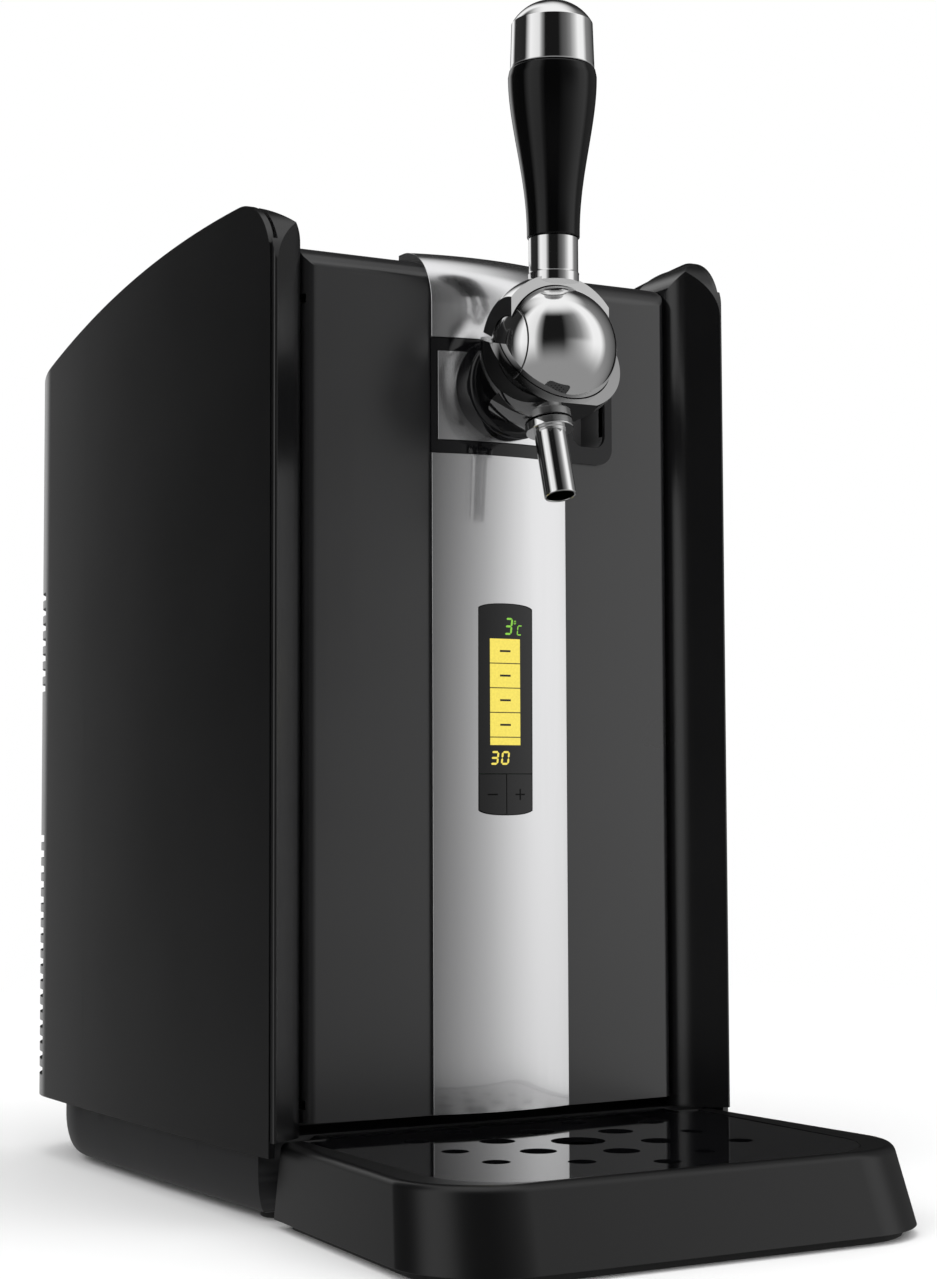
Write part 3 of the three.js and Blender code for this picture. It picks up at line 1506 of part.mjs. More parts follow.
function addDoor(parent) {
  piece(parent, 'door_outer_panel', doorOuterPanel(), doorGrey);
  piece(parent, 'door_liner', doorLiner(), innerPlastic);
  piece(parent, 'door_insulation', doorFoam(), foam);
  piece(parent, 'door_gasket', doorGasket(), rubber);
  piece(parent, 'door_magnet', doorMagnet(), magnetGrey);
  piece(parent, 'strip_upper', stripUpper(), brushedStrip);
  piece(parent, 'strip_tap_plate', stripTapPlate(), brushedStrip);
  piece(parent, 'strip_lower', stripLower(), brushedStrip);
  piece(parent, 'tap_bezel', tapBezel(), glossBlack);
  piece(parent, 'door_pull_cup', doorPullCup(), darkPlastic);
  const half = displayWidth / 2;
  piece(parent, 'display_window', displayField(-half, half, buttonTop + gap / 2, displayTop), glossBlack);
  piece(parent, 'display_board', displayBoard(), boardGreen);
  const top = buttonTop - gap / 2;
  const minus = displayField(-half, -gap / 2, displayBottom, top);
  const plus = displayField(gap / 2, half, displayBottom, top);
  piece(group(parent, 'minus'), 'button_minus', minus, glossBlack);
  piece(group(parent, 'plus'), 'button_plus', plus, glossBlack);
}

function addTap(parent) {
  piece(parent, 'tap_flange', tapFlange(), glossBlack);
  piece(parent, 'tap_shank', tapShank(), steel);
  piece(parent, 'tap_socket', tapSocket(), brightChrome);
  piece(parent, 'tap_side_cap_left', tapSideCap(-1), brightChrome);
  piece(parent, 'tap_side_cap_right', tapSideCap(1), brightChrome);
  piece(parent, 'tap_pivot_shaft', pivotShaft(), steel);
  piece(group(parent, 'plunger'), 'valve_plunger', valvePlunger(), steel);

  const lean = group(parent, 'spout_frame');
  lean.position.set(0, spoutSetback, -spoutDrop);
  lean.rotation.x = THREE.MathUtils.degToRad(-spoutLean);
  piece(lean, 'tap_spout', spout(), brightChrome);

  const handle = group(parent, 'handle');
  piece(handle, 'tap_ball', tapBall(), brightChrome);
  piece(handle, 'tap_saddle', tapSaddle(), brightChrome);
  piece(handle, 'handle_neck', handleNeck(), brightChrome);
  piece(handle, 'handle_grip', handleGrip(), glossBlack);
  piece(handle, 'handle_cap', handleCap(), brightChrome);
}

function addTray(parent) {
  piece(parent, 'drip_tray', dripTray(), satinBlack);
  piece(parent, 'tray_magnet', trayMagnet(), magnetGrey);
  piece(parent, 'tray_foot_pad', trayPad(), rubber);
  piece(group(parent, 'plate'), 'drip_plate', dripPlate(), glossBlack);
}

addHousing(dispenser);
addServices(dispenser);
const door = group(dispenser, 'door');
addDoor(door);
const tap = group(door, 'tap');
tap.position.set(0, -tapReach, tapHeight);
addTap(tap);
addTray(group(dispenser, 'tray'));
dispenser.position.y = (trayReach - bodyDepth) / 2;

export default dispenser;
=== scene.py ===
"""Looks of the mini keg dispenser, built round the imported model.

Lengths are millimetres in the part's own design frame: X to the right, Y to the rear from the front of
the two columns, and Z up from the floor. place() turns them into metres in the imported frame.
"""

import json
from math import acos, atan2, cos, degrees, hypot, pi, radians, sin, sqrt

import bmesh
import bpy
from mathutils import Matrix, Vector

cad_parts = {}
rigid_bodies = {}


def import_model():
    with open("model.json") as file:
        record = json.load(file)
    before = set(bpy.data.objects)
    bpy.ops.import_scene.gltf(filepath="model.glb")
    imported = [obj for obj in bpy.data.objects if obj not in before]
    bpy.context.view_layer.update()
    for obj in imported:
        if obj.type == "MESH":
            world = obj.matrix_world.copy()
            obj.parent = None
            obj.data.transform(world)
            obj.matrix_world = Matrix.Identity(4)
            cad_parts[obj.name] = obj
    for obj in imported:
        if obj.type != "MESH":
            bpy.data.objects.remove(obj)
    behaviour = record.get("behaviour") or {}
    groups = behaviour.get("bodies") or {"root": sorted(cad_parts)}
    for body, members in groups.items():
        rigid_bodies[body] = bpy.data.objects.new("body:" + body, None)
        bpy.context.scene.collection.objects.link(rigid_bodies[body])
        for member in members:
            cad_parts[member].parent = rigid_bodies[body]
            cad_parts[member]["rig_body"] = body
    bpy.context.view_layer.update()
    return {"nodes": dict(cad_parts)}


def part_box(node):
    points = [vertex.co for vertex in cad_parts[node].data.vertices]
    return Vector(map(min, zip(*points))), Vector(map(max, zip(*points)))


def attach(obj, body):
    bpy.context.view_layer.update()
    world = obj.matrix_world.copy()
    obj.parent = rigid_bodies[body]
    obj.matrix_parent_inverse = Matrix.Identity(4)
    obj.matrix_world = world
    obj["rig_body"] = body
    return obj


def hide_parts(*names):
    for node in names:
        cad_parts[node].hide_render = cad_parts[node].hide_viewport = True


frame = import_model()

MM = 0.001
FRONT_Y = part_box("front_frame")[0].y

# Camera
CAMERA_PLACE = (-569.8, -963.8, 186.8)
CAMERA_YAW = 29.55
CAMERA_PITCH = 3.82
CAMERA_ROLL = -0.22
CAMERA_LENS = 67.75
SENSOR = 36.0

# Body shell
BODY_FRONT_HALF = 122.5
SIDE_SWELL = 8.5
BODY_DEPTH = 320.0
BODY_HEIGHT = 458.0
CROWN_RADIUS = 950.0
NOSE_RADIUS = 29.0
PANEL_SETBACK = 3.5
REAR_CORNER = 54.0
REAR_TOP = 50.0
SEAM_Y = 212.0
REAR_SHY = 0.02
PANEL_BOTTOM = 31.0
PANEL_WALL = 3.0
COVER_DROP = 11.0
COVER_WALL = 2.5
INLET_HOLE = (18.0, 74.0, 62.0, 89.0)
INLET_FRONT = 296.0
VENT_HEIGHT = 4.0
VENT_PITCH = 8.2
VENT_LOWER = (42.0, 16)
VENT_UPPER = (246.0, 7)
VENT_INNER = 77.0
VENT_FRONT = 272.0
FAN_VENTS = 8
FAN_BORE = 37.0
FAN_Z = 246.0
FAN_VENT_FRONT = 293.0

# Base plinth
PLINTH_INSET = 4.0
PLINTH_WALL = 3.0
PLINTH_BOTTOM = 3.5
PLINTH_TOP = 45.0
PLINTH_CORNER = 90.0
PLINTH_ROLL_RISE = 20.0
PLINTH_ROLL_INSET = 8.0
SILL_TOP = 37.5
SILL_WALL = 3.0
SILL_FRONT = 20.6
MAGNET_SEAT_HALF = 30.0

# Front frame
COLUMN_BOTTOM = 37.8
COLUMN_INNER = 99.8
COLUMN_OUTER = 122.2
COLUMN_CREST = 120.5
COLUMN_MEET = (109.0, 8.0)
COLUMN_HOLLOW = (102.0, 12.8)
COLUMN_EDGE = 2.7
COLUMN_TOP = 457.4
COLUMN_SHOULDER = (100.4, 449.0)
COLUMN_INNER_TOP = 434.0
HINGE_Y = 21.0
FRAME_SIDE = 119.2
JAMB = 97.5
FLANGE_ROOM = 34.0
BULKHEAD_FRONT = 47.5
BULKHEAD_REAR = 50.5
OPENING_HALF = 88.0
OPENING_LOW = 62.0
OPENING_HIGH = 398.0
STRIKE_POCKET = (59.7, 84.3, 408.7, 423.3)
STRIKE_DEPTH = 1.7

# Bright strip, bezel and display
STRIP_HALF = 36.3
STRIP_EDGE = 10.9
STRIP_RISE = 5.3
STRIP_WALL = 1.8
STRIP_BOTTOM = 43.3
STRIP_TOP = 447.5
STRIP_TOP_RADIUS = 29.0
STRIP_REAR = 44.0
STRIP_SEAT = 12.8
BEZEL_BOTTOM = 348.5
BEZEL_TOP = 402.5
BEZEL_RIGHT = 63.5
BEZEL_REAR = 17.0
BEZEL_FLAT = 11.4
BEZEL_SUNK = 0.6
BEZEL_CORNER = 8.0
PLATE_BOTTOM = 354.3
PLATE_TOP = 396.6
PLATE_HALF = 33.7
CUP_LEFT = 41.0
CUP_RIGHT = 59.5
CUP_BOTTOM = 356.7
CUP_TOP = 392.0
CUP_CORNER = 6.0
DISPLAY_HALF = 14.8
DISPLAY_BOTTOM = 179.7
DISPLAY_TOP = 278.7
DISPLAY_ARCH = 2.4
DISPLAY_CORNER = 2.5
DISPLAY_WALL = 2.0
BUTTON_TOP = 199.0
GAP = 0.3

# What the display shows, in the display's own plane
DECAL_LIFT = 0.06
DECAL_STEPS = 6
DIGIT_LEAN = 0.12
DIGIT_STROKE = 0.95
DIGIT_TRIM = 0.12
LETTER_SHARE = 0.6
DEGREE_SHARE = 0.7
TEMPERATURE_DIGIT = "3"
TEMPERATURE_BOX = (-1.2, 3.0, 264.0, 272.0)
DEGREE_BOX = (4.2, 5.4, 269.0, 270.8)
LETTER_BOX = (5.8, 8.6, 263.9, 268.7)
DAYS_DIGITS = "30"
DAYS_BOXES = ((-8.9, -4.6, 203.2, 209.6), (-3.2, 1.1, 203.2, 209.6))
LEVEL_BOX = (-8.6, 7.6, 212.4, 262.1)
LEVEL_BARS = 9
LEVEL_PITCH = 5.75
LEVEL_SLIT = 0.45
LEVEL_DASH = 0.95
LEVEL_NOTCH = 5.2
SIGN_REACH = 2.6
SIGN_STROKE = 0.7
SIGN_DROP = 9.6

# Tap, about the ball's centre
TAP_PLACE = (0.0, -38.8, 391.8)
BALL_RADIUS = 28.6
SOCKET_INNER = 29.0
SOCKET_RADIUS = 34.0
SIDE_FACE = 23.3
SADDLE_RADIUS = 33.6
SADDLE_HALF = 26.0
SADDLE_FRONT = 6.0
SADDLE_REAR_ANGLE = 204.0
SOCKET_FRONT_ANGLE = 60.0
SOCKET_REAR_ANGLE = 198.0
HOOD_END_ANGLE = 300.0
COLLAR_SINK = 0.9
FLARE_POWER = 0.8
SHANK_DROP = 11.8
FLANGE_RADIUS = 25.0
FLANGE_FRONT = 32.5
FLANGE_REAR = 47.0
FLANGE_EASE = 3.0
BOSS_RADIUS = 12.5
CONE_TOP_RADIUS = 26.0
CONE_TOP_DROP = 21.5
SPOUT_LEAN = 16.0
SPOUT_SETBACK = 5.0
SPOUT_DROP = 33.5
COLLAR_RADIUS = 11.0
COLLAR_HEIGHT = 4.0
SPOUT_RADIUS = 7.4
SPOUT_BORE = 6.3
SPOUT_LENGTH = 36.0
NECK_RADIUS = 11.3
NECK_BOTTOM = 34.2
NECK_TOP = 50.7
GRIP_BOTTOM_RADIUS = 12.1
GRIP_TOP_RADIUS = 20.4
GRIP_LENGTH = 78.2
GRIP_CHAMFER = 3.6
GRIP_EASE = 1.12
CAP_LENGTH = 32.1
CAP_RADIUS = 19.4
CAP_TOP_RADIUS = 18.7
CAP_DOME = 11.0

# Drip tray and its plate
TRAY_REACH = 160.0
TRAY_REAR = 8.0
TONGUE_REAR = 20.0
TONGUE_HALF = 98.0
TRAY_REAR_HALF = 118.0
TRAY_FRONT_HALF = 125.0
TRAY_CORNER = 42.0
TRAY_BOTTOM = 4.0
TRAY_TOP = 37.5
TRAY_FLOOR = 7.5
TAPER_X = 0.03
TAPER_Y = 0.075
TRAY_ROUND = 3.2
GRATE_HALF = 105.0
GRATE_REACH = 143.0
GRATE_REAR = 17.0
GRATE_NOTCH_HALF = 94.0
GRATE_NOTCH = 4.0
GRATE_CORNER = 36.0
GRATE_TOP = 37.0
GRATE_BOTTOM = 34.8
LEDGE = 4.0
HOLE_PITCH_X = 31.0
HOLE_PITCH_Y = 35.0
HOLE_CENTRE_Y = -54.8
CENTRE_HOLE = 24.0
INNER_HOLE = 16.0
OUTER_HOLE = 12.0
INNER_REACH = 1.2
# Each column's place in pitches, its shift in pitches and its rows
HOLE_COLUMNS = ((0, 0, (-2, -1, 0, 1)), (1, 0.5, (-2, -1, 0, 1)), (2, 0, (-1, 0, 1)))

# How finely round stretches are drawn, and the edge roundings
FINE = 128
MEDIUM = 64
CORNER_STEPS = 16
PROFILE_STEPS = 6
EDGE_STEPS = 3
COPY_EDGE_STEPS = 2
HAIR = 0.25
SMALL = 0.5
SOFT = 1.0
STRIP_EDGE_CUT = 1.1
CHAMFER_ANGLE = 15.0
SHARP_ANGLE = 34.0
BEND_ANGLE = 150.0
FACE_WEIGHT = 100
EVEN_WEIGHT = 50
FLAT_ANGLE = 0.1
OVERRUN = 5.0


# Helpers for meshes


def place(x, y, z):
    return Vector((x * MM, y * MM + FRONT_Y, z * MM))


def tap_place(x, y, z):
    return place(TAP_PLACE[0] + x, TAP_PLACE[1] + y, TAP_PLACE[2] + z)


def linked(name, data):
    """Puts data, such as a mesh or a lamp, into the scene as an object."""
    obj = bpy.data.objects.new(name, data)
    bpy.context.scene.collection.objects.link(obj)
    return obj


def new_object(name, bm):
    bmesh.ops.recalc_face_normals(bm, faces=bm.faces)
    mesh = bpy.data.meshes.new(name)
    bm.to_mesh(mesh)
    bm.free()
    return linked(name, mesh)


def skin(name, rings):
    """A closed surface through rings of points, each with the same count."""
    bm = bmesh.new()
    made = [[bm.verts.new(p) for p in ring] for ring in rings]
    for low, high in zip(made, made[1:]):
        for i in range(len(low)):
            j = (i + 1) % len(low)
            bm.faces.new((low[i], low[j], high[j], high[i]))
    bm.faces.new(made[0][::-1])
    bm.faces.new(made[-1])
    return new_object(name, bm)


def prism(name, outline, low, high, point):
    """An outline carried from low to high; point(u, v, w) gives each corner's place."""
    return skin(name, [[point(u, v, w) for u, v in outline] for w in (low, high)])


def along_z(name, outline, low, high):
    return prism(name, outline, low, high, place)


def along_y(name, outline, low, high):
    return prism(name, outline, low, high, lambda x, z, y: place(x, y, z))


def through_strip(name, outline):
    """A cutter with a front outline, through the strip and what lies behind it."""
    return along_y(name, outline, -OVERRUN, STRIP_REAR)


def turned(name, profile, point):
    """A turned form: profile is (radius, height) from end to end, and radius 0 closes an end."""
    bm = bmesh.new()
    rows = []
    for radius, height in profile:
        if radius == 0:
            rows.append([bm.verts.new(point(0, 0, height))])
            continue
        row = []
        for i in range(FINE):
            angle = 2 * pi * i / FINE
            row.append(bm.verts.new(point(radius * cos(angle), radius * sin(angle), height)))
        rows.append(row)
    for low, high in zip(rows, rows[1:]):
        for i in range(FINE):
            j = (i + 1) % FINE
            corners = [low[i % len(low)], low[j % len(low)], high[j % len(high)], high[i % len(high)]]
            bm.faces.new(list(dict.fromkeys(corners)))
    if profile[0] == profile[-1]:
        bmesh.ops.remove_doubles(bm, verts=rows[0] + rows[-1], dist=MM * HAIR / FINE)
    return new_object(name, bm)


def arc(cx, cy, radius, start, end, steps):
    """Points on an arc; the angles are in degrees."""
    points = []
    for i in range(steps + 1):
        angle = radians(start + (end - start) * i / steps)
        points.append((cx + radius * cos(angle), cy + radius * sin(angle)))
    return points


def bow(a, b, c):
    """A curve from a to c that starts and ends in the direction of b."""
    points = []
    for i in range(CORNER_STEPS + 1):
        t = i / CORNER_STEPS
        near, middle, far = (1 - t) ** 2, 2 * t * (1 - t), t ** 2
        points.append(tuple(near * p + middle * q + far * r for p, q, r in zip(a, b, c)))
    return points


def mirrored(points):
    return points + [(-x, y) for x, y in reversed(points)]


def rounded_rect(x0, x1, y0, y1, radii=(0, 0, 0, 0)):
    """A rectangle; the radii run from its lower left corner round to its upper left one."""
    a, b, c, d = radii
    points = []
    lower = (x0 + a, y0 + a, a, 180), (x1 - b, y0 + b, b, 270)
    for cx, cy, radius, start in (*lower, (x1 - c, y1 - c, c, 0), (x0 + d, y1 - d, d, 90)):
        points += arc(cx, cy, radius, start, start + 90, CORNER_STEPS) if radius else [(cx, cy)]
    return points


def settled(obj):
    """Applies the modifiers."""
    graph = bpy.context.evaluated_depsgraph_get()
    mesh = bpy.data.meshes.new_from_object(obj.evaluated_get(graph))
    obj.modifiers.clear()
    obj.data = mesh
    return obj


def combined(obj, others, operation):
    for other in others:
        modifier = obj.modifiers.new("join", "BOOLEAN")
        modifier.operation = operation
        modifier.solver = "EXACT"
        modifier.object = other
    settled(obj)
    for other in others:
        bpy.data.objects.remove(other)
    return obj


def cut(obj, *others):
    return combined(obj, others, "DIFFERENCE")


def kept(obj, *others):
    return combined(obj, others, "INTERSECT")


def united(obj, *others):
    return combined(obj, others, "UNION")


def cleaned(obj):
    """Merges double points and turns flat patches of triangles back into single faces."""
    bm = bmesh.new()
    bm.from_mesh(obj.data)
    bmesh.ops.remove_doubles(bm, verts=bm.verts, dist=MM / FINE)
    bmesh.ops.dissolve_limit(
        bm, angle_limit=radians(FLAT_ANGLE), verts=bm.verts, edges=bm.edges, delimit=set(),
    )
    bm.to_mesh(obj.data)
    bm.free()
    return obj


def bevel(obj, width, segments):
    modifier = obj.modifiers.new("edges", "BEVEL")
    modifier.width = width * MM
    modifier.segments = segments
    modifier.limit_method = "ANGLE"
    modifier.angle_limit = radians(SHARP_ANGLE)
    return modifier


def with_normals(obj, weight):
    """Lets larger faces lead the shading; the weight is out of 100."""
    weighted = obj.modifiers.new("normals", "WEIGHTED_NORMAL")
    weighted.keep_sharp = True
    weighted.weight = weight
    return settled(obj)


def softened(obj, width, segments=EDGE_STEPS):
    """Rounds the sharp edges and shades the rest smooth."""
    bevel(obj, width, segments).miter_outer = "MITER_ARC"
    settled(obj)
    obj.data.shade_smooth()
    return with_normals(obj, FACE_WEIGHT)


def chamfered(obj, width):
    """Cuts the sharp edges flat, so that each shows as a thin line of its own."""
    bevel(obj, width, 1)
    settled(obj)
    obj.data.shade_smooth()
    obj.data.set_sharp_from_angle(angle=radians(CHAMFER_ANGLE))
    return with_normals(obj, EVEN_WEIGHT)


def wedge(name, start, end, reach):
    """A sector of a cylinder about X; the angle runs from the front, down and round to the rear."""
    fan = arc(0, 0, reach, start, end, MEDIUM)
    outline = [(0, 0)] + [(-y, -z) for y, z in fan]
    return prism(name, outline, -reach, reach, lambda y, z, x: tap_place(x, y, z))


def true_round(obj, centre, *radii):
    """Gives the faces of a ball-shaped stretch the exact normals of the ball."""
    mesh = obj.data
    near = MM * HAIR / 4
    normals = []
    for polygon in mesh.polygons:
        for index in polygon.loop_indices:
            point = mesh.vertices[mesh.loops[index].vertex_index].co
            radial = point - centre
            length = radial.length
            normal = mesh.corner_normals[index].vector.copy()
            on_ball = any(abs(length - radius * MM) < near for radius in radii)
            if on_ball and length > 0:
                outward = radial / length
                if abs(outward.dot(polygon.normal)) > cos(radians(SHARP_ANGLE / 2)):
                    normal = outward if outward.dot(polygon.normal) > 0 else -outward
            normals.append(normal)
    mesh.normals_split_custom_set(normals)
    return obj


# Materials

CLOUD_SCALE = 18.0
CLOUD_DETAIL = 4.0
GRAIN_DETAIL = 2.0
METAL_DETAIL = 5.0
ROUGH_SPAN = (0.3, 0.7)
TINT_SPAN = (0.25, 0.75)
COAT_IOR = 2.0
CELL_SCALE = 900.0
CELL_SPAN = (0.35, 0.65)
CELL_DIM = 0.88
UNLIT_SHARE = 0.2
LIT_ROUGHNESS = 0.3


def node(tree, kind, links=None, **settings):
    made = tree.nodes.new("ShaderNode" + kind)
    for key, value in settings.items():
        setattr(made, key, value)
    for socket, value in (links or {}).items():
        if isinstance(value, bpy.types.NodeSocket):
            tree.links.new(value, made.inputs[socket])
        else:
            made.inputs[socket].default_value = value
    return made


def ramp(tree, factor, *stops):
    made = node(tree, "ValToRGB", {"Fac": factor})
    elements = made.color_ramp.elements
    while len(elements) < len(stops):
        elements.new(1.0)
    for element, (position, value) in zip(elements, stops):
        element.position = position
        element.color = value if len(value) == 4 else (*value, 1)
    return made.outputs["Color"]


def grey(value):
    return (value, value, value)


def shader(name):
    made = bpy.data.materials.new(name)
    made.use_nodes = True
    tree = made.node_tree
    return made, tree, tree.nodes["Principled BSDF"]


def noise(tree, scale, detail, stretch=None):
    """Noise fixed to the object, drawn out along an axis where stretch is below 1."""
    where = node(tree, "TexCoord").outputs["Object"]
    if stretch:
        where = node(tree, "Mapping", {"Vector": where, "Scale": stretch}).outputs["Vector"]
    return node(tree, "TexNoise", {"Vector": where, "Scale": scale, "Detail": detail}).outputs["Fac"]


def roughened(tree, bsdf, cloud, low, high):
    start, end = ROUGH_SPAN
    tree.links.new(ramp(tree, cloud, (start, grey(low)), (end, grey(high))), bsdf.inputs["Roughness"])


def bumped(tree, bsdf, height, depth):
    bump = node(tree, "Bump", {"Height": height, "Strength": depth, "Distance": MM})
    tree.links.new(bump.outputs["Normal"], bsdf.inputs["Normal"])


def plastic(
    name, color, roughness, grain=2600.0, depth=0.02, spread=0.06, metallic=0.0, tint=0.12, shine=0.5,
):
    """Moulded plastic: a fine grain, cloudy roughness and a slight drift of colour."""
    made, tree, bsdf = shader(name)
    cloud = noise(tree, CLOUD_SCALE, CLOUD_DETAIL)
    roughened(tree, bsdf, cloud, roughness - spread / 2, roughness + spread / 2)
    dark = [channel * (1 - tint) for channel in color]
    light = [min(channel * (1 + tint), 1) for channel in color]
    start, end = TINT_SPAN
    tree.links.new(ramp(tree, cloud, (start, dark), (end, light)), bsdf.inputs["Base Color"])
    bumped(tree, bsdf, noise(tree, grain, GRAIN_DETAIL), depth)
    bsdf.inputs["Metallic"].default_value = metallic
    bsdf.inputs["Specular IOR Level"].default_value = shine
    return made


def metal(name, color, low, high, stretch=(1.0, 1.0, 1.0), scale=60.0, depth=0.0, coat=0.0):
    """Bare or plated metal, with its roughness drawn out along one direction when stretched."""
    made, tree, bsdf = shader(name)
    bsdf.inputs["Metallic"].default_value = 1.0
    bsdf.inputs["Base Color"].default_value = (*color, 1)
    bsdf.inputs["Coat Weight"].default_value = coat
    bsdf.inputs["Coat IOR"].default_value = COAT_IOR
    cloud = noise(tree, scale, METAL_DETAIL, stretch)
    roughened(tree, bsdf, cloud, low, high)
    if depth:
        bumped(tree, bsdf, cloud, depth)
    return made


def glowing(name, color):
    """A lit display segment with a faint cell pattern."""
    made, tree, bsdf = shader(name)
    cells = noise(tree, CELL_SCALE, GRAIN_DETAIL)
    dark = [channel * CELL_DIM for channel in color]
    start, end = CELL_SPAN
    tree.links.new(ramp(tree, cells, (start, dark), (end, color)), bsdf.inputs["Emission Color"])
    bsdf.inputs["Emission Strength"].default_value = 1.0
    bsdf.inputs["Base Color"].default_value = (*[channel * UNLIT_SHARE for channel in color], 1)
    bsdf.inputs["Roughness"].default_value = LIT_ROUGHNESS
    return made


MATERIALS = {
    "housing": plastic("housing_black", (0.0035, 0.0035, 0.0037), 0.22, spread=0.015, shine=0.8),
    "tray": plastic("tray_black", (0.0035, 0.0035, 0.0037), 0.3, spread=0.02, shine=0.45),
    "frame": plastic("frame_black", (0.004, 0.004, 0.0043), 0.24, spread=0.015, shine=0.7),
    "door": plastic("door_grey", (0.010, 0.010, 0.0106), 0.28, depth=0.012, spread=0.015, shine=0.9),
    "gloss": plastic("gloss_black", (0.0035, 0.0035, 0.004), 0.05, depth=0.0, spread=0.02),
    "grip": plastic("grip_black", (0.0015, 0.0015, 0.0016), 0.09, depth=0.0, spread=0.02, shine=0.3),
    "screen": plastic("screen_black", (0.003, 0.003, 0.0032), 0.07, depth=0.0, spread=0.02),
    "chrome": metal("chrome", grey(0.86), 0.05, 0.08),
    # Chrome with a darker base colour: painted shade standing in for the dark reflections round the
    # tap's socket
    "shaded_chrome": metal("chrome_with_painted_shade", grey(0.30), 0.04, 0.07),
    "strip": metal(
        "bright_strip", (0.80, 0.80, 0.81), 0.19, 0.22, stretch=(1.0, 1.0, 0.04), scale=420.0, coat=1.0,
    ),
    "dark": plastic("dark_plastic", (0.011, 0.011, 0.012), 0.55, grain=1800.0, depth=0.05),
    "cup": plastic("cup_plastic", (0.13, 0.13, 0.132), 0.42),
    "liner": plastic("liner_plastic", (0.62, 0.64, 0.66), 0.38, depth=0.01),
    "foam": plastic("foam", (0.74, 0.68, 0.5), 0.9, grain=500.0, depth=0.5),
    "rubber": plastic("rubber", (0.008, 0.008, 0.008), 0.75, grain=900.0, depth=0.2),
    "aluminium": metal(
        "aluminium", grey(0.62), 0.24, 0.36, stretch=(0.05, 1.0, 1.0), scale=500.0, depth=0.05,
    ),
    "steel": metal(
        "turned_steel", grey(0.5), 0.2, 0.3, stretch=(1.0, 0.1, 1.0), scale=400.0, depth=0.04,
    ),
    "ceramic": plastic("ceramic", (0.78, 0.78, 0.76), 0.5, grain=700.0, depth=0.1),
    "board": plastic("board_green", (0.01, 0.09, 0.03), 0.4, grain=350.0, depth=0.15, tint=0.35),
    "hose": plastic("hose_silicone", (0.55, 0.58, 0.6), 0.3, depth=0.01),
    "magnet": plastic("ferrite", (0.05, 0.05, 0.053), 0.5, grain=1200.0, depth=0.1, metallic=0.4),
    "yellow": glowing("lit_yellow", (0.80, 0.66, 0.10)),
    "green": glowing("lit_green", (0.22, 0.55, 0.05)),
    "sign": plastic("button_sign", (0.0012, 0.0012, 0.0012), 0.2, shine=0.1),
}


def dress(obj, material, body, *nodes):
    """Gives a piece its material and its body, and hides the CAD nodes it stands for."""
    obj.data.materials.clear()
    obj.data.materials.append(MATERIALS[material])
    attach(obj, body)
    if nodes:
        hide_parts(*nodes)
    return obj


def rounded_copy(node_name, material, body, width):
    """A copy of a CAD solid with its edges rounded and its curves shaded smooth."""
    source = frame["nodes"][node_name]
    obj = linked(node_name + "_shell", source.data.copy())
    bpy.context.view_layer.update()
    softened(cleaned(obj), width, COPY_EDGE_STEPS)
    return dress(obj, material, body, node_name)


# Strip, bezel and display


def strip_y(x):
    """Depth of the strip's face at a distance from its middle."""
    radius = (STRIP_HALF ** 2 + STRIP_RISE ** 2) / (2 * STRIP_RISE)
    return STRIP_EDGE - STRIP_RISE + radius - sqrt(radius ** 2 - x ** 2)


def strip_outline(inset=0.0, shift=0.0, rear=STRIP_SEAT):
    xs = [STRIP_HALF * i / MEDIUM for i in range(MEDIUM + 1)]
    right = [(min(x, STRIP_HALF - inset), strip_y(x) + inset + shift) for x in xs]
    right.append((STRIP_HALF - inset, rear))
    return mirrored(right)


def strip_length(name, low, high, wall=STRIP_WALL):
    """A length of the strip: a curved sheet with its two edges turned back to the door."""
    solid = along_z(name, strip_outline(rear=STRIP_SEAT), low, high)
    hollow = strip_outline(wall, rear=STRIP_SEAT + OVERRUN)
    return cut(solid, along_z("hollow", hollow, low - OVERRUN, high + OVERRUN))


def display_outline(inset=0.0):
    half = DISPLAY_HALF - inset
    bottom = DISPLAY_BOTTOM + inset
    top = DISPLAY_TOP - inset
    side = half - DISPLAY_CORNER
    return (
        bow((half, top - DISPLAY_ARCH), (side, top), (0, top))[:-1]
        + bow((0, top), (-side, top), (-half, top - DISPLAY_ARCH))[:-1]
        + bow((-half, bottom + DISPLAY_ARCH), (-side, bottom), (0, bottom))[:-1]
        + bow((0, bottom), (side, bottom), (half, bottom + DISPLAY_ARCH))[:-1]
    )


def make_strip():
    lower = strip_length("strip_lower_skin", STRIP_BOTTOM, BEZEL_BOTTOM - GAP)
    cut(lower, through_strip("window", display_outline()))
    dress(chamfered(cleaned(lower), STRIP_EDGE_CUT), "strip", "door", "strip_lower")

    low = PLATE_BOTTOM + GAP
    high = PLATE_TOP - GAP
    plate = along_z("tap_plate_skin", strip_outline(), low, high)
    side = PLATE_HALF - GAP
    slab = rounded_rect(-side, side, low, high)
    kept(plate, along_y("side_trim", slab, -OVERRUN, STRIP_SEAT + OVERRUN))
    dress(chamfered(cleaned(plate), STRIP_EDGE_CUT), "strip", "door", "strip_tap_plate")

    rings = []
    base = STRIP_TOP - STRIP_TOP_RADIUS
    for height in (BEZEL_TOP + GAP, base):
        rings.append([place(x, y, height) for x, y in strip_outline(rear=STRIP_REAR)])
    for i in range(1, CORNER_STEPS * 2):
        angle = radians(90 * i / (CORNER_STEPS * 2))
        shift = STRIP_TOP_RADIUS * (1 - cos(angle))
        height = base + STRIP_TOP_RADIUS * sin(angle)
        ring = strip_outline(shift=shift, rear=STRIP_REAR)
        rings.append([place(x, min(y, STRIP_REAR - HAIR), height) for x, y in ring])
    upper = skin("strip_upper_skin", rings)
    dress(chamfered(upper, STRIP_EDGE_CUT), "strip", "door", "strip_upper")


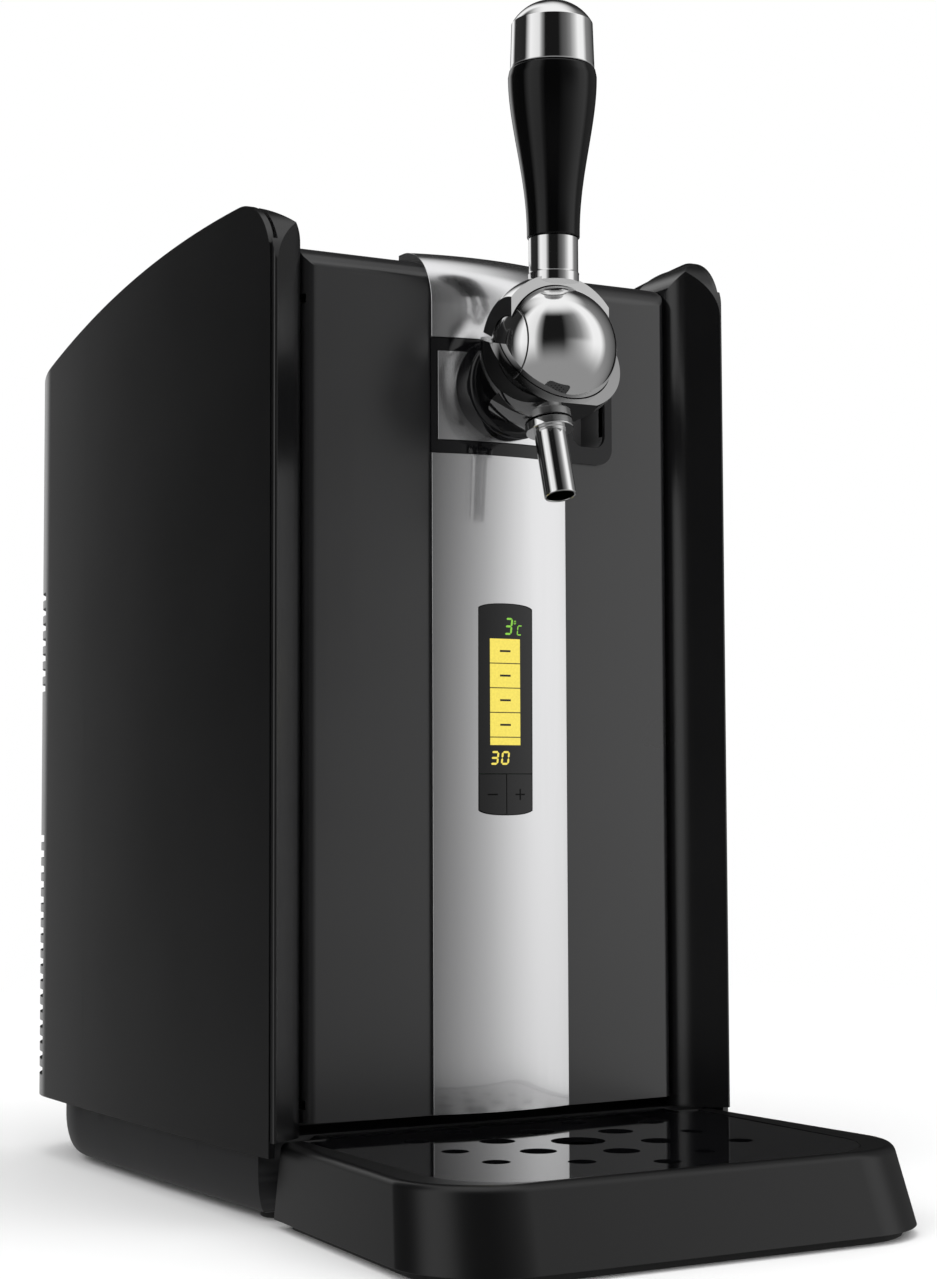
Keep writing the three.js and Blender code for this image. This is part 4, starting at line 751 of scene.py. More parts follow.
def bezel_y(x):
    return strip_y(x) + BEZEL_SUNK if abs(x) <= STRIP_HALF else BEZEL_FLAT


def make_bezel():
    left = -STRIP_HALF
    curve = [(left + 2 * STRIP_HALF * i / MEDIUM) for i in range(MEDIUM + 1)]
    outline = [(x, bezel_y(x)) for x in curve]
    outline += [(STRIP_HALF + SMALL, BEZEL_FLAT), (BEZEL_RIGHT, BEZEL_FLAT)]
    outline += [(BEZEL_RIGHT, BEZEL_REAR), (left, BEZEL_REAR)]
    bezel = along_z("tap_bezel_skin", outline, BEZEL_BOTTOM, BEZEL_TOP)
    front = rounded_rect(left, BEZEL_RIGHT, BEZEL_BOTTOM, BEZEL_TOP, (0, BEZEL_CORNER, BEZEL_CORNER, 0))
    kept(bezel, through_strip("front_trim", front))
    window = rounded_rect(-PLATE_HALF, PLATE_HALF, PLATE_BOTTOM, PLATE_TOP)
    pocket = rounded_rect(CUP_LEFT, CUP_RIGHT, CUP_BOTTOM, CUP_TOP, (CUP_CORNER,) * 4)
    cut(bezel, through_strip("window", window), through_strip("pocket", pocket))
    dress(softened(bezel, SMALL), "gloss", "door", "tap_bezel")


def display_field(name, x0, x1, z0, z1):
    field = strip_length(name, z0, z1, DISPLAY_WALL)
    kept(field, through_strip("shape", display_outline(GAP)))
    kept(field, through_strip("slab", [(x0, z0), (x1, z0), (x1, z1), (x0, z1)]))
    return softened(cleaned(field), HAIR)


def decal(name, polygons, material, body):
    """Flat marks laid on the strip's curve: each polygon is a list of x and z."""
    bm = bmesh.new()
    for polygon in polygons:
        front = [bm.verts.new(place(x, strip_y(x) - DECAL_LIFT, z)) for x, z in polygon]
        back = [bm.verts.new(place(x, strip_y(x) + DECAL_LIFT, z)) for x, z in polygon]
        bm.faces.new(front)
        bm.faces.new(back[::-1])
        for i in range(len(front)):
            j = (i + 1) % len(front)
            bm.faces.new((front[i], back[i], back[j], front[j]))
    return dress(new_object(name, bm), material, body)


def bars_over(x0, x1, z0, z1):
    """A rectangle split into upright slices, so that it follows the curve."""
    step = (x1 - x0) / DECAL_STEPS
    return [
        [(x0 + i * step, z0), (x0 + (i + 1) * step, z0), (x0 + (i + 1) * step, z1), (x0 + i * step, z1)]
        for i in range(DECAL_STEPS)
    ]


SEGMENTS = {
    "top": ((0, 1), (1, 1)), "middle": ((0, 0.5), (1, 0.5)), "bottom": ((0, 0), (1, 0)),
    "upper_left": ((0, 0.5), (0, 1)), "upper_right": ((1, 0.5), (1, 1)),
    "lower_left": ((0, 0), (0, 0.5)), "lower_right": ((1, 0), (1, 0.5)),
}
GLYPHS = {
    "3": ("top", "middle", "bottom", "upper_right", "lower_right"),
    "0": ("top", "bottom", "upper_left", "upper_right", "lower_left", "lower_right"),
    "c": ("top", "bottom", "upper_left", "lower_left"),
}


def glyph(kind, box, stroke=DIGIT_STROKE):
    """Seven-segment strokes in a leaning box."""
    x0, x1, z0, z1 = box
    width = x1 - x0 - stroke
    height = z1 - z0 - stroke
    polygons = []
    for key in GLYPHS[kind]:
        (u0, v0), (u1, v1) = SEGMENTS[key]
        ax, az = x0 + stroke / 2 + u0 * width, z0 + stroke / 2 + v0 * height
        bx, bz = x0 + stroke / 2 + u1 * width, z0 + stroke / 2 + v1 * height
        length = hypot(bx - ax, bz - az)
        dx, dz = (bx - ax) / length, (bz - az) / length
        trim = stroke * DIGIT_TRIM
        half = stroke / 2
        ax, az = ax + dx * trim, az + dz * trim
        bx, bz = bx - dx * trim, bz - dz * trim
        dx, dz = dx * half, dz * half
        points = [
            (ax, az), (ax + dx - dz, az + dz + dx), (bx - dx - dz, bz - dz + dx),
            (bx, bz), (bx - dx + dz, bz - dz - dx), (ax + dx + dz, az + dz - dx),
        ]
        polygons.append([(x + DIGIT_LEAN * (z - z0), z) for x, z in points])
    return polygons


def make_display():
    half = DISPLAY_HALF
    dress(
        display_field("display_glass", -half, half, BUTTON_TOP + GAP / 2, DISPLAY_TOP),
        "screen", "door", "display_window",
    )
    top = BUTTON_TOP - GAP / 2
    minus = display_field("minus_cap", -half, -GAP / 2, DISPLAY_BOTTOM, top)
    plus = display_field("plus_cap", GAP / 2, half, DISPLAY_BOTTOM, top)
    dress(minus, "screen", "minus_key", "button_minus")
    dress(plus, "screen", "plus_key", "button_plus")

    decal("temperature_digit", glyph(TEMPERATURE_DIGIT, TEMPERATURE_BOX), "green", "door")
    small = DIGIT_STROKE * LETTER_SHARE
    decal("degree_mark", glyph("0", DEGREE_BOX, small * DEGREE_SHARE), "green", "door")
    decal("temperature_letter", glyph("c", LETTER_BOX, small), "green", "door")
    for i, (digit, box) in enumerate(zip(DAYS_DIGITS, DAYS_BOXES)):
        decal(f"days_digit_{i}", glyph(digit, box), "yellow", "door")

    x0, x1, z0, z1 = LEVEL_BOX
    bars = []
    for i in range(LEVEL_BARS):
        over, under = (LEVEL_DASH, LEVEL_SLIT) if i % 2 else (LEVEL_SLIT, LEVEL_DASH)
        high = z1 - i * LEVEL_PITCH - (over / 2 if i else 0)
        low = z1 - (i + 1) * LEVEL_PITCH + under / 2
        bars += bars_over(x0, x1, max(low, z0), high)
        if under == LEVEL_DASH and low > z0:
            bars += bars_over(x0, x0 + LEVEL_NOTCH, low - LEVEL_DASH, low)
            bars += bars_over(x1 - LEVEL_NOTCH, x1, low - LEVEL_DASH, low)
    decal("level_bars", bars, "yellow", "door")

    sign_z = BUTTON_TOP - SIGN_DROP
    stroke = SIGN_STROKE / 2
    for name, x, body in (("minus_sign", -half / 2, "minus_key"), ("plus_sign", half / 2, "plus_key")):
        polygons = bars_over(x - SIGN_REACH, x + SIGN_REACH, sign_z - stroke, sign_z + stroke)
        if name == "plus_sign":
            for low, high in ((stroke, SIGN_REACH), (-SIGN_REACH, -stroke)):
                polygons.append(rounded_rect(x - stroke, x + stroke, sign_z + low, sign_z + high))
        decal(name, polygons, "sign", body)


# Tap


def about_x(x, y, z):
    return tap_place(z, y, x)


def about_y(x, y, z):
    return tap_place(x, z, y - SHANK_DROP)


def leaned(x, y, z):
    turn = Matrix.Rotation(radians(-SPOUT_LEAN), 3, "X") @ Vector((x, y, z))
    return tap_place(turn.x, turn.y + SPOUT_SETBACK, turn.z - SPOUT_DROP)


def ball_profile(radius, start, end, steps=MEDIUM):
    """A meridian from one angle to another, measured from the axis."""
    points = []
    for i in range(steps + 1):
        angle = radians(start + (end - start) * i / steps)
        points.append((max(radius * sin(angle), 0), radius * cos(angle)))
    return points


def full_ball(name, radius):
    profile = ball_profile(radius, 0, 180)
    profile[0] = (0, radius)
    profile[-1] = (0, -radius)
    return turned(name, profile, tap_place)


def make_ball():
    face_radius = sqrt(BALL_RADIUS ** 2 - SIDE_FACE ** 2)
    edge = degrees(atan2(face_radius, SIDE_FACE))
    body = [(0, SIDE_FACE), (face_radius, SIDE_FACE)] + ball_profile(BALL_RADIUS, edge, 180 - edge)[1:-1]
    body += [(face_radius, -SIDE_FACE), (0, -SIDE_FACE)]
    dress(softened(turned("ball_body", body, about_x), HAIR), "chrome", "tap_handle", "tap_ball")
    for side, name in ((-1, "left"), (1, "right")):
        face = SIDE_FACE + GAP
        rim = sqrt(BALL_RADIUS ** 2 - face ** 2)
        start = degrees(atan2(rim, face))
        dome = [(r, side * h) for r, h in ball_profile(BALL_RADIUS, start, 0, CORNER_STEPS)]
        dome[-1] = (0, side * BALL_RADIUS)
        cap = turned(f"ball_cap_{name}", [(0, side * face)] + dome, about_x)
        dress(softened(cap, HAIR), "chrome", "door", f"tap_side_cap_{name}")


def drum(name, radius, low, high, point):
    return turned(name, [(0, low), (radius, low), (radius, high), (0, high)], point)


def make_saddle():
    reach = SADDLE_RADIUS * 2
    shell = full_ball("saddle_hood", SADDLE_RADIUS)
    cut(shell, full_ball("inner", SOCKET_INNER))
    box = [(-SADDLE_FRONT, 0), (reach, 0), (reach, reach), (-SADDLE_FRONT, reach)]
    kept(shell, prism("band", box, -SADDLE_HALF, SADDLE_HALF, lambda y, z, x: tap_place(x, y, z)))
    kept(shell, wedge("sector", SADDLE_REAR_ANGLE, HOOD_END_ANGLE, reach))
    low = SADDLE_RADIUS * COLLAR_SINK
    united(shell, drum("collar", NECK_RADIUS + GAP, low, NECK_BOTTOM + GAP, tap_place))
    softened(shell, SMALL)
    true_round(shell, tap_place(0, 0, 0), SADDLE_RADIUS, SOCKET_INNER)
    dress(shell, "chrome", "tap_handle", "tap_saddle")


def make_socket():
    reach = SOCKET_RADIUS * 2
    cup = full_ball("socket_cup", SOCKET_RADIUS)
    kept(cup, wedge("sector", SOCKET_FRONT_ANGLE, SOCKET_REAR_ANGLE, reach))
    boss = drum("boss", BOSS_RADIUS, 0, FLANGE_FRONT - GAP, about_y)
    height = SPOUT_DROP - CONE_TOP_DROP
    flare = [(0, GAP), (COLLAR_RADIUS, GAP)]
    for i in range(1, CORNER_STEPS + 1):
        t = i / CORNER_STEPS
        radius = COLLAR_RADIUS + (CONE_TOP_RADIUS - COLLAR_RADIUS) * t ** FLARE_POWER
        flare.append((radius, GAP + (height - GAP) * t))
    flare.append((0, height))
    cone = turned("cone", flare, leaned)
    united(cup, boss, cone)
    square = rounded_rect(-reach, reach, -reach, reach)
    below = prism("below", square, -reach, GAP, leaned)
    behind = prism("behind", square, FLANGE_FRONT - GAP, reach, about_y)
    cut(cup, full_ball("inner", SOCKET_INNER), below, behind)
    softened(cup, SMALL)
    true_round(cup, tap_place(0, 0, 0), SOCKET_RADIUS, SOCKET_INNER)
    # The socket's darker chrome is painted shade in place of its dark reflections
    dress(cup, "shaded_chrome", "door", "tap_socket")


def rounded_profile(points, radius):
    """Rounds the corners of a turned profile that do not lie on the axis."""
    made = [points[0]]
    for before, corner, after in zip(points, points[1:], points[2:]):
        a = Vector(before) - Vector(corner)
        b = Vector(after) - Vector(corner)
        turn = a.angle(b) if a.length and b.length else pi
        if corner[0] == 0 or turn > radians(BEND_ANGLE):
            made.append(corner)
            continue
        reach = min(radius, a.length / 2, b.length / 2)
        start = Vector(corner) + a.normalized() * reach
        end = Vector(corner) + b.normalized() * reach
        for i in range(PROFILE_STEPS + 1):
            t = i / PROFILE_STEPS
            point = start * (1 - t) ** 2 + Vector(corner) * 2 * t * (1 - t) + end * t ** 2
            made.append(tuple(point))
    made.append(points[-1])
    return made


def make_handle():
    neck = [(0, NECK_BOTTOM), (NECK_RADIUS + SMALL, NECK_BOTTOM), (NECK_RADIUS, NECK_BOTTOM + SOFT)]
    neck += [(NECK_RADIUS, NECK_TOP), (0, NECK_TOP)]
    piece = turned("neck_ring", rounded_profile(neck, HAIR), tap_place)
    dress(softened(piece, HAIR), "chrome", "tap_handle", "handle_neck")

    low = NECK_TOP + GAP
    top = low + GRIP_LENGTH
    shoulder = top - GRIP_CHAMFER
    grip = [(0, low), (GRIP_BOTTOM_RADIUS, low)]
    flare = GRIP_TOP_RADIUS - GRIP_BOTTOM_RADIUS
    for i in range(1, MEDIUM + 1):
        t = i / MEDIUM
        eased = t ** GRIP_EASE
        radius = GRIP_BOTTOM_RADIUS + flare * eased ** 2 * (3 - 2 * eased)
        grip.append((radius, low + (shoulder - low) * t))
    grip += [(CAP_RADIUS + GAP, top), (0, top)]
    piece = turned("grip_body", rounded_profile(grip, SOFT), tap_place)
    dress(softened(piece, HAIR), "grip", "tap_handle", "handle_grip")

    base = top + GAP
    edge = base + CAP_LENGTH - CAP_DOME
    sphere = (CAP_TOP_RADIUS ** 2 + CAP_DOME ** 2) / (2 * CAP_DOME)
    start = degrees(acos(CAP_TOP_RADIUS / sphere))
    cap = [(0, base), (CAP_RADIUS, base), (CAP_TOP_RADIUS, edge)]
    dome = arc(0, base + CAP_LENGTH - sphere, sphere, start, 90, MEDIUM)
    cap += dome[1:-1] + [(0, base + CAP_LENGTH)]
    piece = turned("cap_dome", rounded_profile(cap, SOFT), tap_place)
    dress(softened(piece, HAIR), "chrome", "tap_handle", "handle_cap")


def make_spout():
    profile = [(SPOUT_BORE, 0), (COLLAR_RADIUS, 0), (COLLAR_RADIUS, -COLLAR_HEIGHT)]
    profile += [(SPOUT_RADIUS, -COLLAR_HEIGHT), (SPOUT_RADIUS, -SPOUT_LENGTH)]
    profile += [(SPOUT_BORE, -SPOUT_LENGTH), (SPOUT_BORE, 0)]
    piece = turned("spout_tube", profile, leaned)
    dress(softened(piece, SMALL), "chrome", "door", "tap_spout")


def make_flange():
    profile = [(0, FLANGE_FRONT), (FLANGE_RADIUS - FLANGE_EASE, FLANGE_FRONT)]
    profile += [(FLANGE_RADIUS - SOFT, FLANGE_FRONT + SOFT), (FLANGE_RADIUS, FLANGE_FRONT + FLANGE_EASE)]
    profile += [(FLANGE_RADIUS, FLANGE_REAR), (0, FLANGE_REAR)]
    piece = turned("flange_disc", rounded_profile(profile, SOFT), about_y)
    dress(softened(piece, HAIR), "gloss", "door", "tap_flange")


# Drip tray


def tray_ring(z, inset=0.0):
    """The tray's outline at a height: it draws in towards the top."""
    share = (z - TRAY_BOTTOM) / (TRAY_TOP - TRAY_BOTTOM)
    radius = TRAY_CORNER - inset
    front_half = TRAY_FRONT_HALF - inset
    right = [
        (TONGUE_HALF - inset, TONGUE_REAR - inset), (TONGUE_HALF - inset, TRAY_REAR - inset),
        (TRAY_REAR_HALF - inset, TRAY_REAR - inset),
    ]
    right += arc(front_half - radius, TRAY_CORNER - TRAY_REACH, radius, 0, -90, CORNER_STEPS * 2)
    points = []
    for x, y in mirrored(right):
        points.append(place(x * (1 - TAPER_X * share), y * (1 - TAPER_Y * share) if y < 0 else y, z))
    return points


def grate_ring(z, inset=0.0):
    """The plate's outline: its rear corners are cut back round the tongue."""
    corner = GRATE_CORNER - inset
    half = GRATE_HALF - inset
    right = [
        (GRATE_NOTCH_HALF - inset, GRATE_REAR - inset), (GRATE_NOTCH_HALF - inset, GRATE_NOTCH - inset),
        (half, GRATE_NOTCH - inset),
    ]
    right += arc(half - corner, corner + inset - GRATE_REACH, corner, 0, -90, CORNER_STEPS * 2)
    return [place(x, y, z) for x, y in mirrored(right)]


def make_tray():
    rings = [tray_ring(TRAY_BOTTOM), tray_ring(TRAY_TOP - TRAY_ROUND)]
    for i in range(1, CORNER_STEPS // 2 + 1):
        angle = radians(180 * i / CORNER_STEPS)
        inset = TRAY_ROUND * (1 - cos(angle))
        rings.append(tray_ring(TRAY_TOP - TRAY_ROUND * (1 - sin(angle)), inset))
    rings.append(grate_ring(TRAY_TOP - SMALL / 2, -GAP))
    rings.append(grate_ring(GRATE_BOTTOM - GAP, -GAP))
    rings.append(grate_ring(GRATE_BOTTOM - GAP, LEDGE))
    rings.append(grate_ring(TRAY_FLOOR, LEDGE))
    tray = skin("tray_body", rings)
    dress(softened(tray, HAIR), "tray", "tray", "drip_tray")


def hole_places():
    """Holes shrink away from the one under the spout; every second column is shifted half a pitch."""
    for column, shift, rows in HOLE_COLUMNS:
        for row in rows:
            reach = hypot(column, row + shift)
            size = CENTRE_HOLE if reach == 0 else INNER_HOLE if reach < INNER_REACH else OUTER_HOLE
            y = HOLE_CENTRE_Y + (row + shift) * HOLE_PITCH_Y
            for side in ((-1, 1) if column else (1,)):
                yield side * column * HOLE_PITCH_X, y, size / 2


def make_grate():
    grate = skin("grate_plate", [grate_ring(GRATE_BOTTOM), grate_ring(GRATE_TOP)])
    cutters = []
    for x, y, radius in hole_places():
        hole = arc(x, y, radius, 0, 360, MEDIUM)[:-1]
        cutters.append(along_z("hole", hole, GRATE_BOTTOM - OVERRUN, GRATE_TOP + OVERRUN))
    cut(grate, *cutters)
    dress(softened(cleaned(grate), SMALL), "gloss", "plate", "drip_plate")


# Housing


def half_width(y):
    """Half of the body's width at a depth: it swells towards the rear."""
    share = min(max(y / (BODY_DEPTH - REAR_CORNER), 0), 1)
    return BODY_FRONT_HALF + SIDE_SWELL * (1 - (1 - share) ** 2)


def plan(inset, front, rear, corner=REAR_CORNER):
    """The body seen from above, between two depths."""
    corner_y = BODY_DEPTH - corner
    end = min(rear, corner_y)
    right = []
    for i in range(MEDIUM + 1):
        y = front + (end - front) * i / MEDIUM
        right.append((half_width(y) - inset, y))
    if rear > corner_y:
        corner_x = half_width(corner_y) - corner
        right += arc(corner_x, corner_y, corner - inset, 0, 90, CORNER_STEPS * 2)[1:]
    return mirrored(right)


def side_view(inset, front, bottom):
    """The body seen from the side: nose, long crown, rounded rear top and a straight rear."""
    apex = PANEL_SETBACK + NOSE_RADIUS
    nose = apex - front
    crown = CROWN_RADIUS - inset
    centre = BODY_HEIGHT - NOSE_RADIUS - sqrt((CROWN_RADIUS - NOSE_RADIUS) ** 2 - apex ** 2)
    meet = degrees(acos(apex / (crown - nose)))
    nose_z = centre + (crown - nose) * sin(radians(meet))
    rear_y = BODY_DEPTH - REAR_TOP
    rear_meet = degrees(acos(rear_y / (CROWN_RADIUS - REAR_TOP)))
    rear_z = centre + (CROWN_RADIUS - REAR_TOP) * sin(radians(rear_meet))
    highest = nose_z + nose * sin(radians(meet))
    points = [(front, bottom)]
    points += arc(apex, nose_z, nose, 180, meet, CORNER_STEPS * 2)
    points += arc(0, centre, crown, meet, rear_meet, MEDIUM)[1:]
    points += arc(rear_y, rear_z, REAR_TOP - inset, rear_meet, 0, CORNER_STEPS)[1:]
    points.append((BODY_DEPTH - inset, bottom))
    return [(y, min(z, highest)) for y, z in points]


def body_slice(inset, front):
    reach = BODY_FRONT_HALF * 2
    outline = side_view(inset, front, -OVERRUN)
    return prism("slice", outline, -reach, reach, lambda y, z, x: place(x, y, z))


def boxes(name, spans):
    """Any number of blocks in one mesh; each span is x, y and z from low to high."""
    bm = bmesh.new()
    for x0, x1, y0, y1, z0, z1 in spans:
        made = bmesh.ops.create_cube(bm, size=1.0)["verts"]
        for vert in made:
            vert.co = place(
                x1 if vert.co.x > 0 else x0, y1 if vert.co.y > 0 else y0, z1 if vert.co.z > 0 else z0,
            )
    return new_object(name, bm)


def make_side_panels():
    top = BODY_HEIGHT + OVERRUN
    for side, name in ((-1, "left"), (1, "right")):
        panel = along_z(f"side_skin_{name}", plan(0, PANEL_SETBACK, SEAM_Y), PANEL_BOTTOM, top)
        cut(panel, along_z("inner", plan(PANEL_WALL, -OVERRUN, BODY_DEPTH), 0, top + OVERRUN))
        kept(panel, body_slice(0, PANEL_SETBACK))
        edge = side * BODY_FRONT_HALF * 2
        kept(panel, boxes("half", [(min(0, edge), max(0, edge), -OVERRUN, BODY_DEPTH, 0, top)]))
        dress(softened(cleaned(panel), SOFT), "housing", "housing", f"side_panel_{name}")


def make_top_cover():
    start = BULKHEAD_FRONT + GAP
    sheet = along_z("top_skin", plan(PANEL_WALL + GAP, start, SEAM_Y - GAP), SEAM_Y, BODY_HEIGHT)
    kept(sheet, body_slice(COVER_DROP, PANEL_SETBACK))
    cut(sheet, body_slice(COVER_DROP + COVER_WALL, PANEL_SETBACK))
    dress(softened(cleaned(sheet), SMALL), "housing", "housing", "top_cover")


def vent_spans():
    """Slots round both rear corners and a round field of them before the fan."""
    rear = BODY_DEPTH + OVERRUN
    for low, count in (VENT_LOWER, VENT_UPPER):
        for i in range(count):
            z = low + i * VENT_PITCH
            for x0, x1 in ((VENT_INNER, BODY_FRONT_HALF * 2), (-BODY_FRONT_HALF * 2, -VENT_INNER)):
                yield x0, x1, VENT_FRONT, rear, z, z + VENT_HEIGHT
    for i in range(FAN_VENTS):
        drop = (i - (FAN_VENTS - 1) / 2) * VENT_PITCH
        reach = sqrt(FAN_BORE ** 2 - drop ** 2)
        z = FAN_Z + drop - VENT_HEIGHT / 2
        yield -reach, reach, FAN_VENT_FRONT, rear, z, z + VENT_HEIGHT


def make_rear_cover():
    cover = along_z("rear_skin", plan(REAR_SHY, SEAM_Y + GAP, BODY_DEPTH), PANEL_BOTTOM, BODY_HEIGHT)
    kept(cover, body_slice(0, PANEL_SETBACK))
    inner = along_z("inner", plan(PANEL_WALL, 0, BODY_DEPTH), -OVERRUN, BODY_HEIGHT + OVERRUN)
    kept(inner, body_slice(PANEL_WALL, PANEL_SETBACK))
    x0, x1, z0, z1 = INLET_HOLE
    inlet = (x0, x1, INLET_FRONT, BODY_DEPTH + OVERRUN, z0, z1)
    cut(cover, inner, boxes("vents", [inlet, *vent_spans()]))
    dress(softened(cleaned(cover), SMALL), "housing", "housing", "rear_cover")


def plinth_skin(name, inset, front, bottom, top):
    """A body whose lower edge is rolled in all round."""
    rings = []
    for i in range(CORNER_STEPS + 1):
        angle = radians(90 * i / CORNER_STEPS)
        roll = PLINTH_ROLL_INSET * (1 - sin(angle))
        z = bottom + PLINTH_ROLL_RISE * (1 - cos(angle))
        ring = plan(inset + roll, front + roll, BODY_DEPTH, PLINTH_CORNER)
        rings.append([place(x, y, z) for x, y in ring])
    rings.append([place(x, y, top) for x, y in plan(inset, front, BODY_DEPTH, PLINTH_CORNER)])
    return skin(name, rings)


def make_plinth():
    plinth = plinth_skin("plinth_skin", PLINTH_INSET, SILL_FRONT, PLINTH_BOTTOM, PLINTH_TOP)
    wall = PLINTH_WALL
    floor = PLINTH_BOTTOM + wall
    top = PLINTH_TOP + OVERRUN
    cut(plinth, plinth_skin("hollow", PLINTH_INSET + wall, SILL_FRONT + wall, floor, top))
    sill = along_z("sill", plan(PLINTH_INSET, SILL_FRONT, BULKHEAD_REAR), SILL_TOP - SILL_WALL, SILL_TOP)
    half = MAGNET_SEAT_HALF
    seat = (-half, half, SILL_FRONT, SILL_FRONT + PLINTH_ROLL_INSET + wall, floor, SILL_TOP)
    united(plinth, sill, boxes("seat", [seat]))
    reach = BODY_FRONT_HALF * 2
    cut(plinth, boxes("clear", [(-reach, reach, 0, BULKHEAD_REAR + GAP, SILL_TOP, BODY_HEIGHT)]))
    dress(softened(cleaned(plinth), SMALL), "dark", "housing", "base_plinth")


def make_front_frame():
    section = bow((COLUMN_INNER, HINGE_Y), COLUMN_HOLLOW, COLUMN_MEET)
    section.append((COLUMN_CREST, 0))
    section += bow((COLUMN_CREST, 0), (COLUMN_OUTER, 0), (COLUMN_OUTER, COLUMN_EDGE))[1:]
    section += [(FRAME_SIDE, COLUMN_EDGE), (FRAME_SIDE, BULKHEAD_REAR)]
    section += [(JAMB, BULKHEAD_REAR), (JAMB, FLANGE_ROOM), (COLUMN_INNER, FLANGE_ROOM)]
    crest = bow((COLUMN_OUTER, COLUMN_TOP), COLUMN_SHOULDER, (COLUMN_INNER, COLUMN_INNER_TOP))
    front = [(0, 0), (COLUMN_OUTER, 0), *crest, (0, COLUMN_INNER_TOP)]
    columns = []
    face = (-COLUMN_OUTER, COLUMN_OUTER, -OVERRUN, BULKHEAD_FRONT, 0, BODY_HEIGHT)
    for side in (-1, 1):
        column = along_z("column", [(side * x, y) for x, y in section], COLUMN_BOTTOM, BODY_HEIGHT)
        trim = along_y("trim", [(side * x, z) for x, z in front], -OVERRUN, BULKHEAD_REAR + OVERRUN)
        kept(column, trim, body_slice(GAP, 0))
        columns.append(kept(column, boxes("face", [face])))
    sheet = (-FRAME_SIDE, FRAME_SIDE, BULKHEAD_FRONT, BULKHEAD_REAR, COLUMN_BOTTOM, BODY_HEIGHT)
    panel = boxes("frame_skin", [sheet])
    kept(panel, body_slice(COVER_DROP + COVER_WALL + GAP, PANEL_SETBACK))
    united(panel, *columns)
    x0, x1, z0, z1 = STRIKE_POCKET
    pocket = (x0, x1, 0, BULKHEAD_FRONT + STRIKE_DEPTH, z0, z1)
    opening = (-OPENING_HALF, OPENING_HALF, 0, BODY_DEPTH, OPENING_LOW, OPENING_HIGH)
    cut(panel, boxes("opening", [opening, pocket]))
    dress(softened(cleaned(panel), SOFT), "frame", "housing", "front_frame")


for make in (
    make_side_panels, make_top_cover, make_rear_cover, make_plinth, make_front_frame, make_strip,
    make_bezel, make_display, make_ball, make_saddle, make_socket, make_handle, make_spout, make_flange,
    make_tray, make_grate,
):
    make()

# Pieces that keep their CAD shape: those with their edges rounded, then those left as they are
ROUNDED = (
    ("door", SMALL, "door_outer_panel"), ("cup", SMALL, "door_pull_cup"), ("liner", HAIR, "door_liner"),
    ("rubber", SOFT, "door_gasket"), ("liner", SMALL, "keg_chamber_liner"),
    ("rubber", SMALL, "tray_foot_pad"), ("dark", HAIR, "mains_inlet"), ("gloss", SMALL, "power_switch"),
    ("aluminium", HAIR, "heat_sink"),
    ("dark", SMALL, "fan_frame"), ("dark", HAIR, "fan_rotor"), ("dark", SOFT, "air_pump"),
    ("aluminium", SOFT, "power_supply"), ("steel", SMALL, "gas_coupling"),
    ("steel", HAIR, "tap_shank", "valve_plunger", "tap_pivot_shaft", "hinge_arm_lower"),
    ("steel", HAIR, "hinge_arm_upper", "strike_plate", "hinge_pin_lower", "hinge_pin_upper"),
    ("magnet", HAIR, "door_magnet", "tray_magnet"), ("aluminium", HAIR, "cold_plate"),
    ("board", HAIR, "control_board", "display_board"),
    ("rubber", SMALL, "foot_front_left", "foot_front_right", "foot_rear_left", "foot_rear_right"),
)
KEPT = (
    ("foam", "insulation_jacket"), ("foam", "door_insulation"), ("ceramic", "thermoelectric_module"),
    ("hose", "air_hose"),
)

for material, width, *node_names in ROUNDED:
    for node_name in node_names:
        rounded_copy(node_name, material, frame["nodes"][node_name]["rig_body"], width)
for material, node_name in KEPT:
    data = frame["nodes"][node_name].data
    data.materials.clear()
    data.materials.append(MATERIALS[material])


# Stage, lights and camera

FLOOR_REACH = 30.0
FLOOR_GREY = 0.96
FLOOR_ROUGHNESS = 0.9
FLOOR_SHINE = 0.1
FLOOR_FADE = (0.45, 1.3)
LAMP_DISTANCE = 2.2
EVEN_LIGHT = 1.0
EYE_LEVEL = (3.0, 14.0)
CEILING_FROM = (50.0, 85.0)
CEILING_LIGHT = 1.0
GROUND_FROM = (8.0, -38.0)
GROUND_LIGHT = 0.3
# Azimuth from the front in degrees, then the brightness mirrored low down and above eye level
STUDIO = (
    (-180, 1.0, 1.0), (-172, 1.0, 1.0), (-164, 0.35, 0.35), (-158, 0.03, 0.03), (-112, 0.02, 0.02),
    (-102, 0.6, 0.6), (-94, 1.0, 1.0), (-68, 0.85, 0.85), (-60, 0.3, 0.3), (-51, 0.01, 0.01),
    (-14, 0.02, 0.01), (-4, 0.16, 0.08), (8, 0.32, 0.14), (20, 0.5, 0.26), (34, 0.8, 0.6),
    (46, 1.0, 1.0), (64, 1.0, 1.0), (78, 0.25, 0.25), (110, 0.12, 0.12), (125, 0.03, 0.03),
    (162, 0.03, 0.03), (174, 0.9, 0.9), (180, 1.0, 1.0),
)
# Each lamp's azimuth, elevation, size in metres and power; all look at one height in metres
LAMPS = {
    "key": (-70, 38, (1.4, 1.4), 8), "fill": (35, 30, (1.6, 1.2), 6), "over": (0, 85, (1.6, 1.6), 8),
}
LAMP_TARGET = Vector((0, 0, 0.25))
WHITE = (1, 1, 1, 1)


def mixed(tree, factor, first, second):
    return node(tree, "MixShader", {"Fac": factor, 1: first, 2: second}).outputs["Shader"]


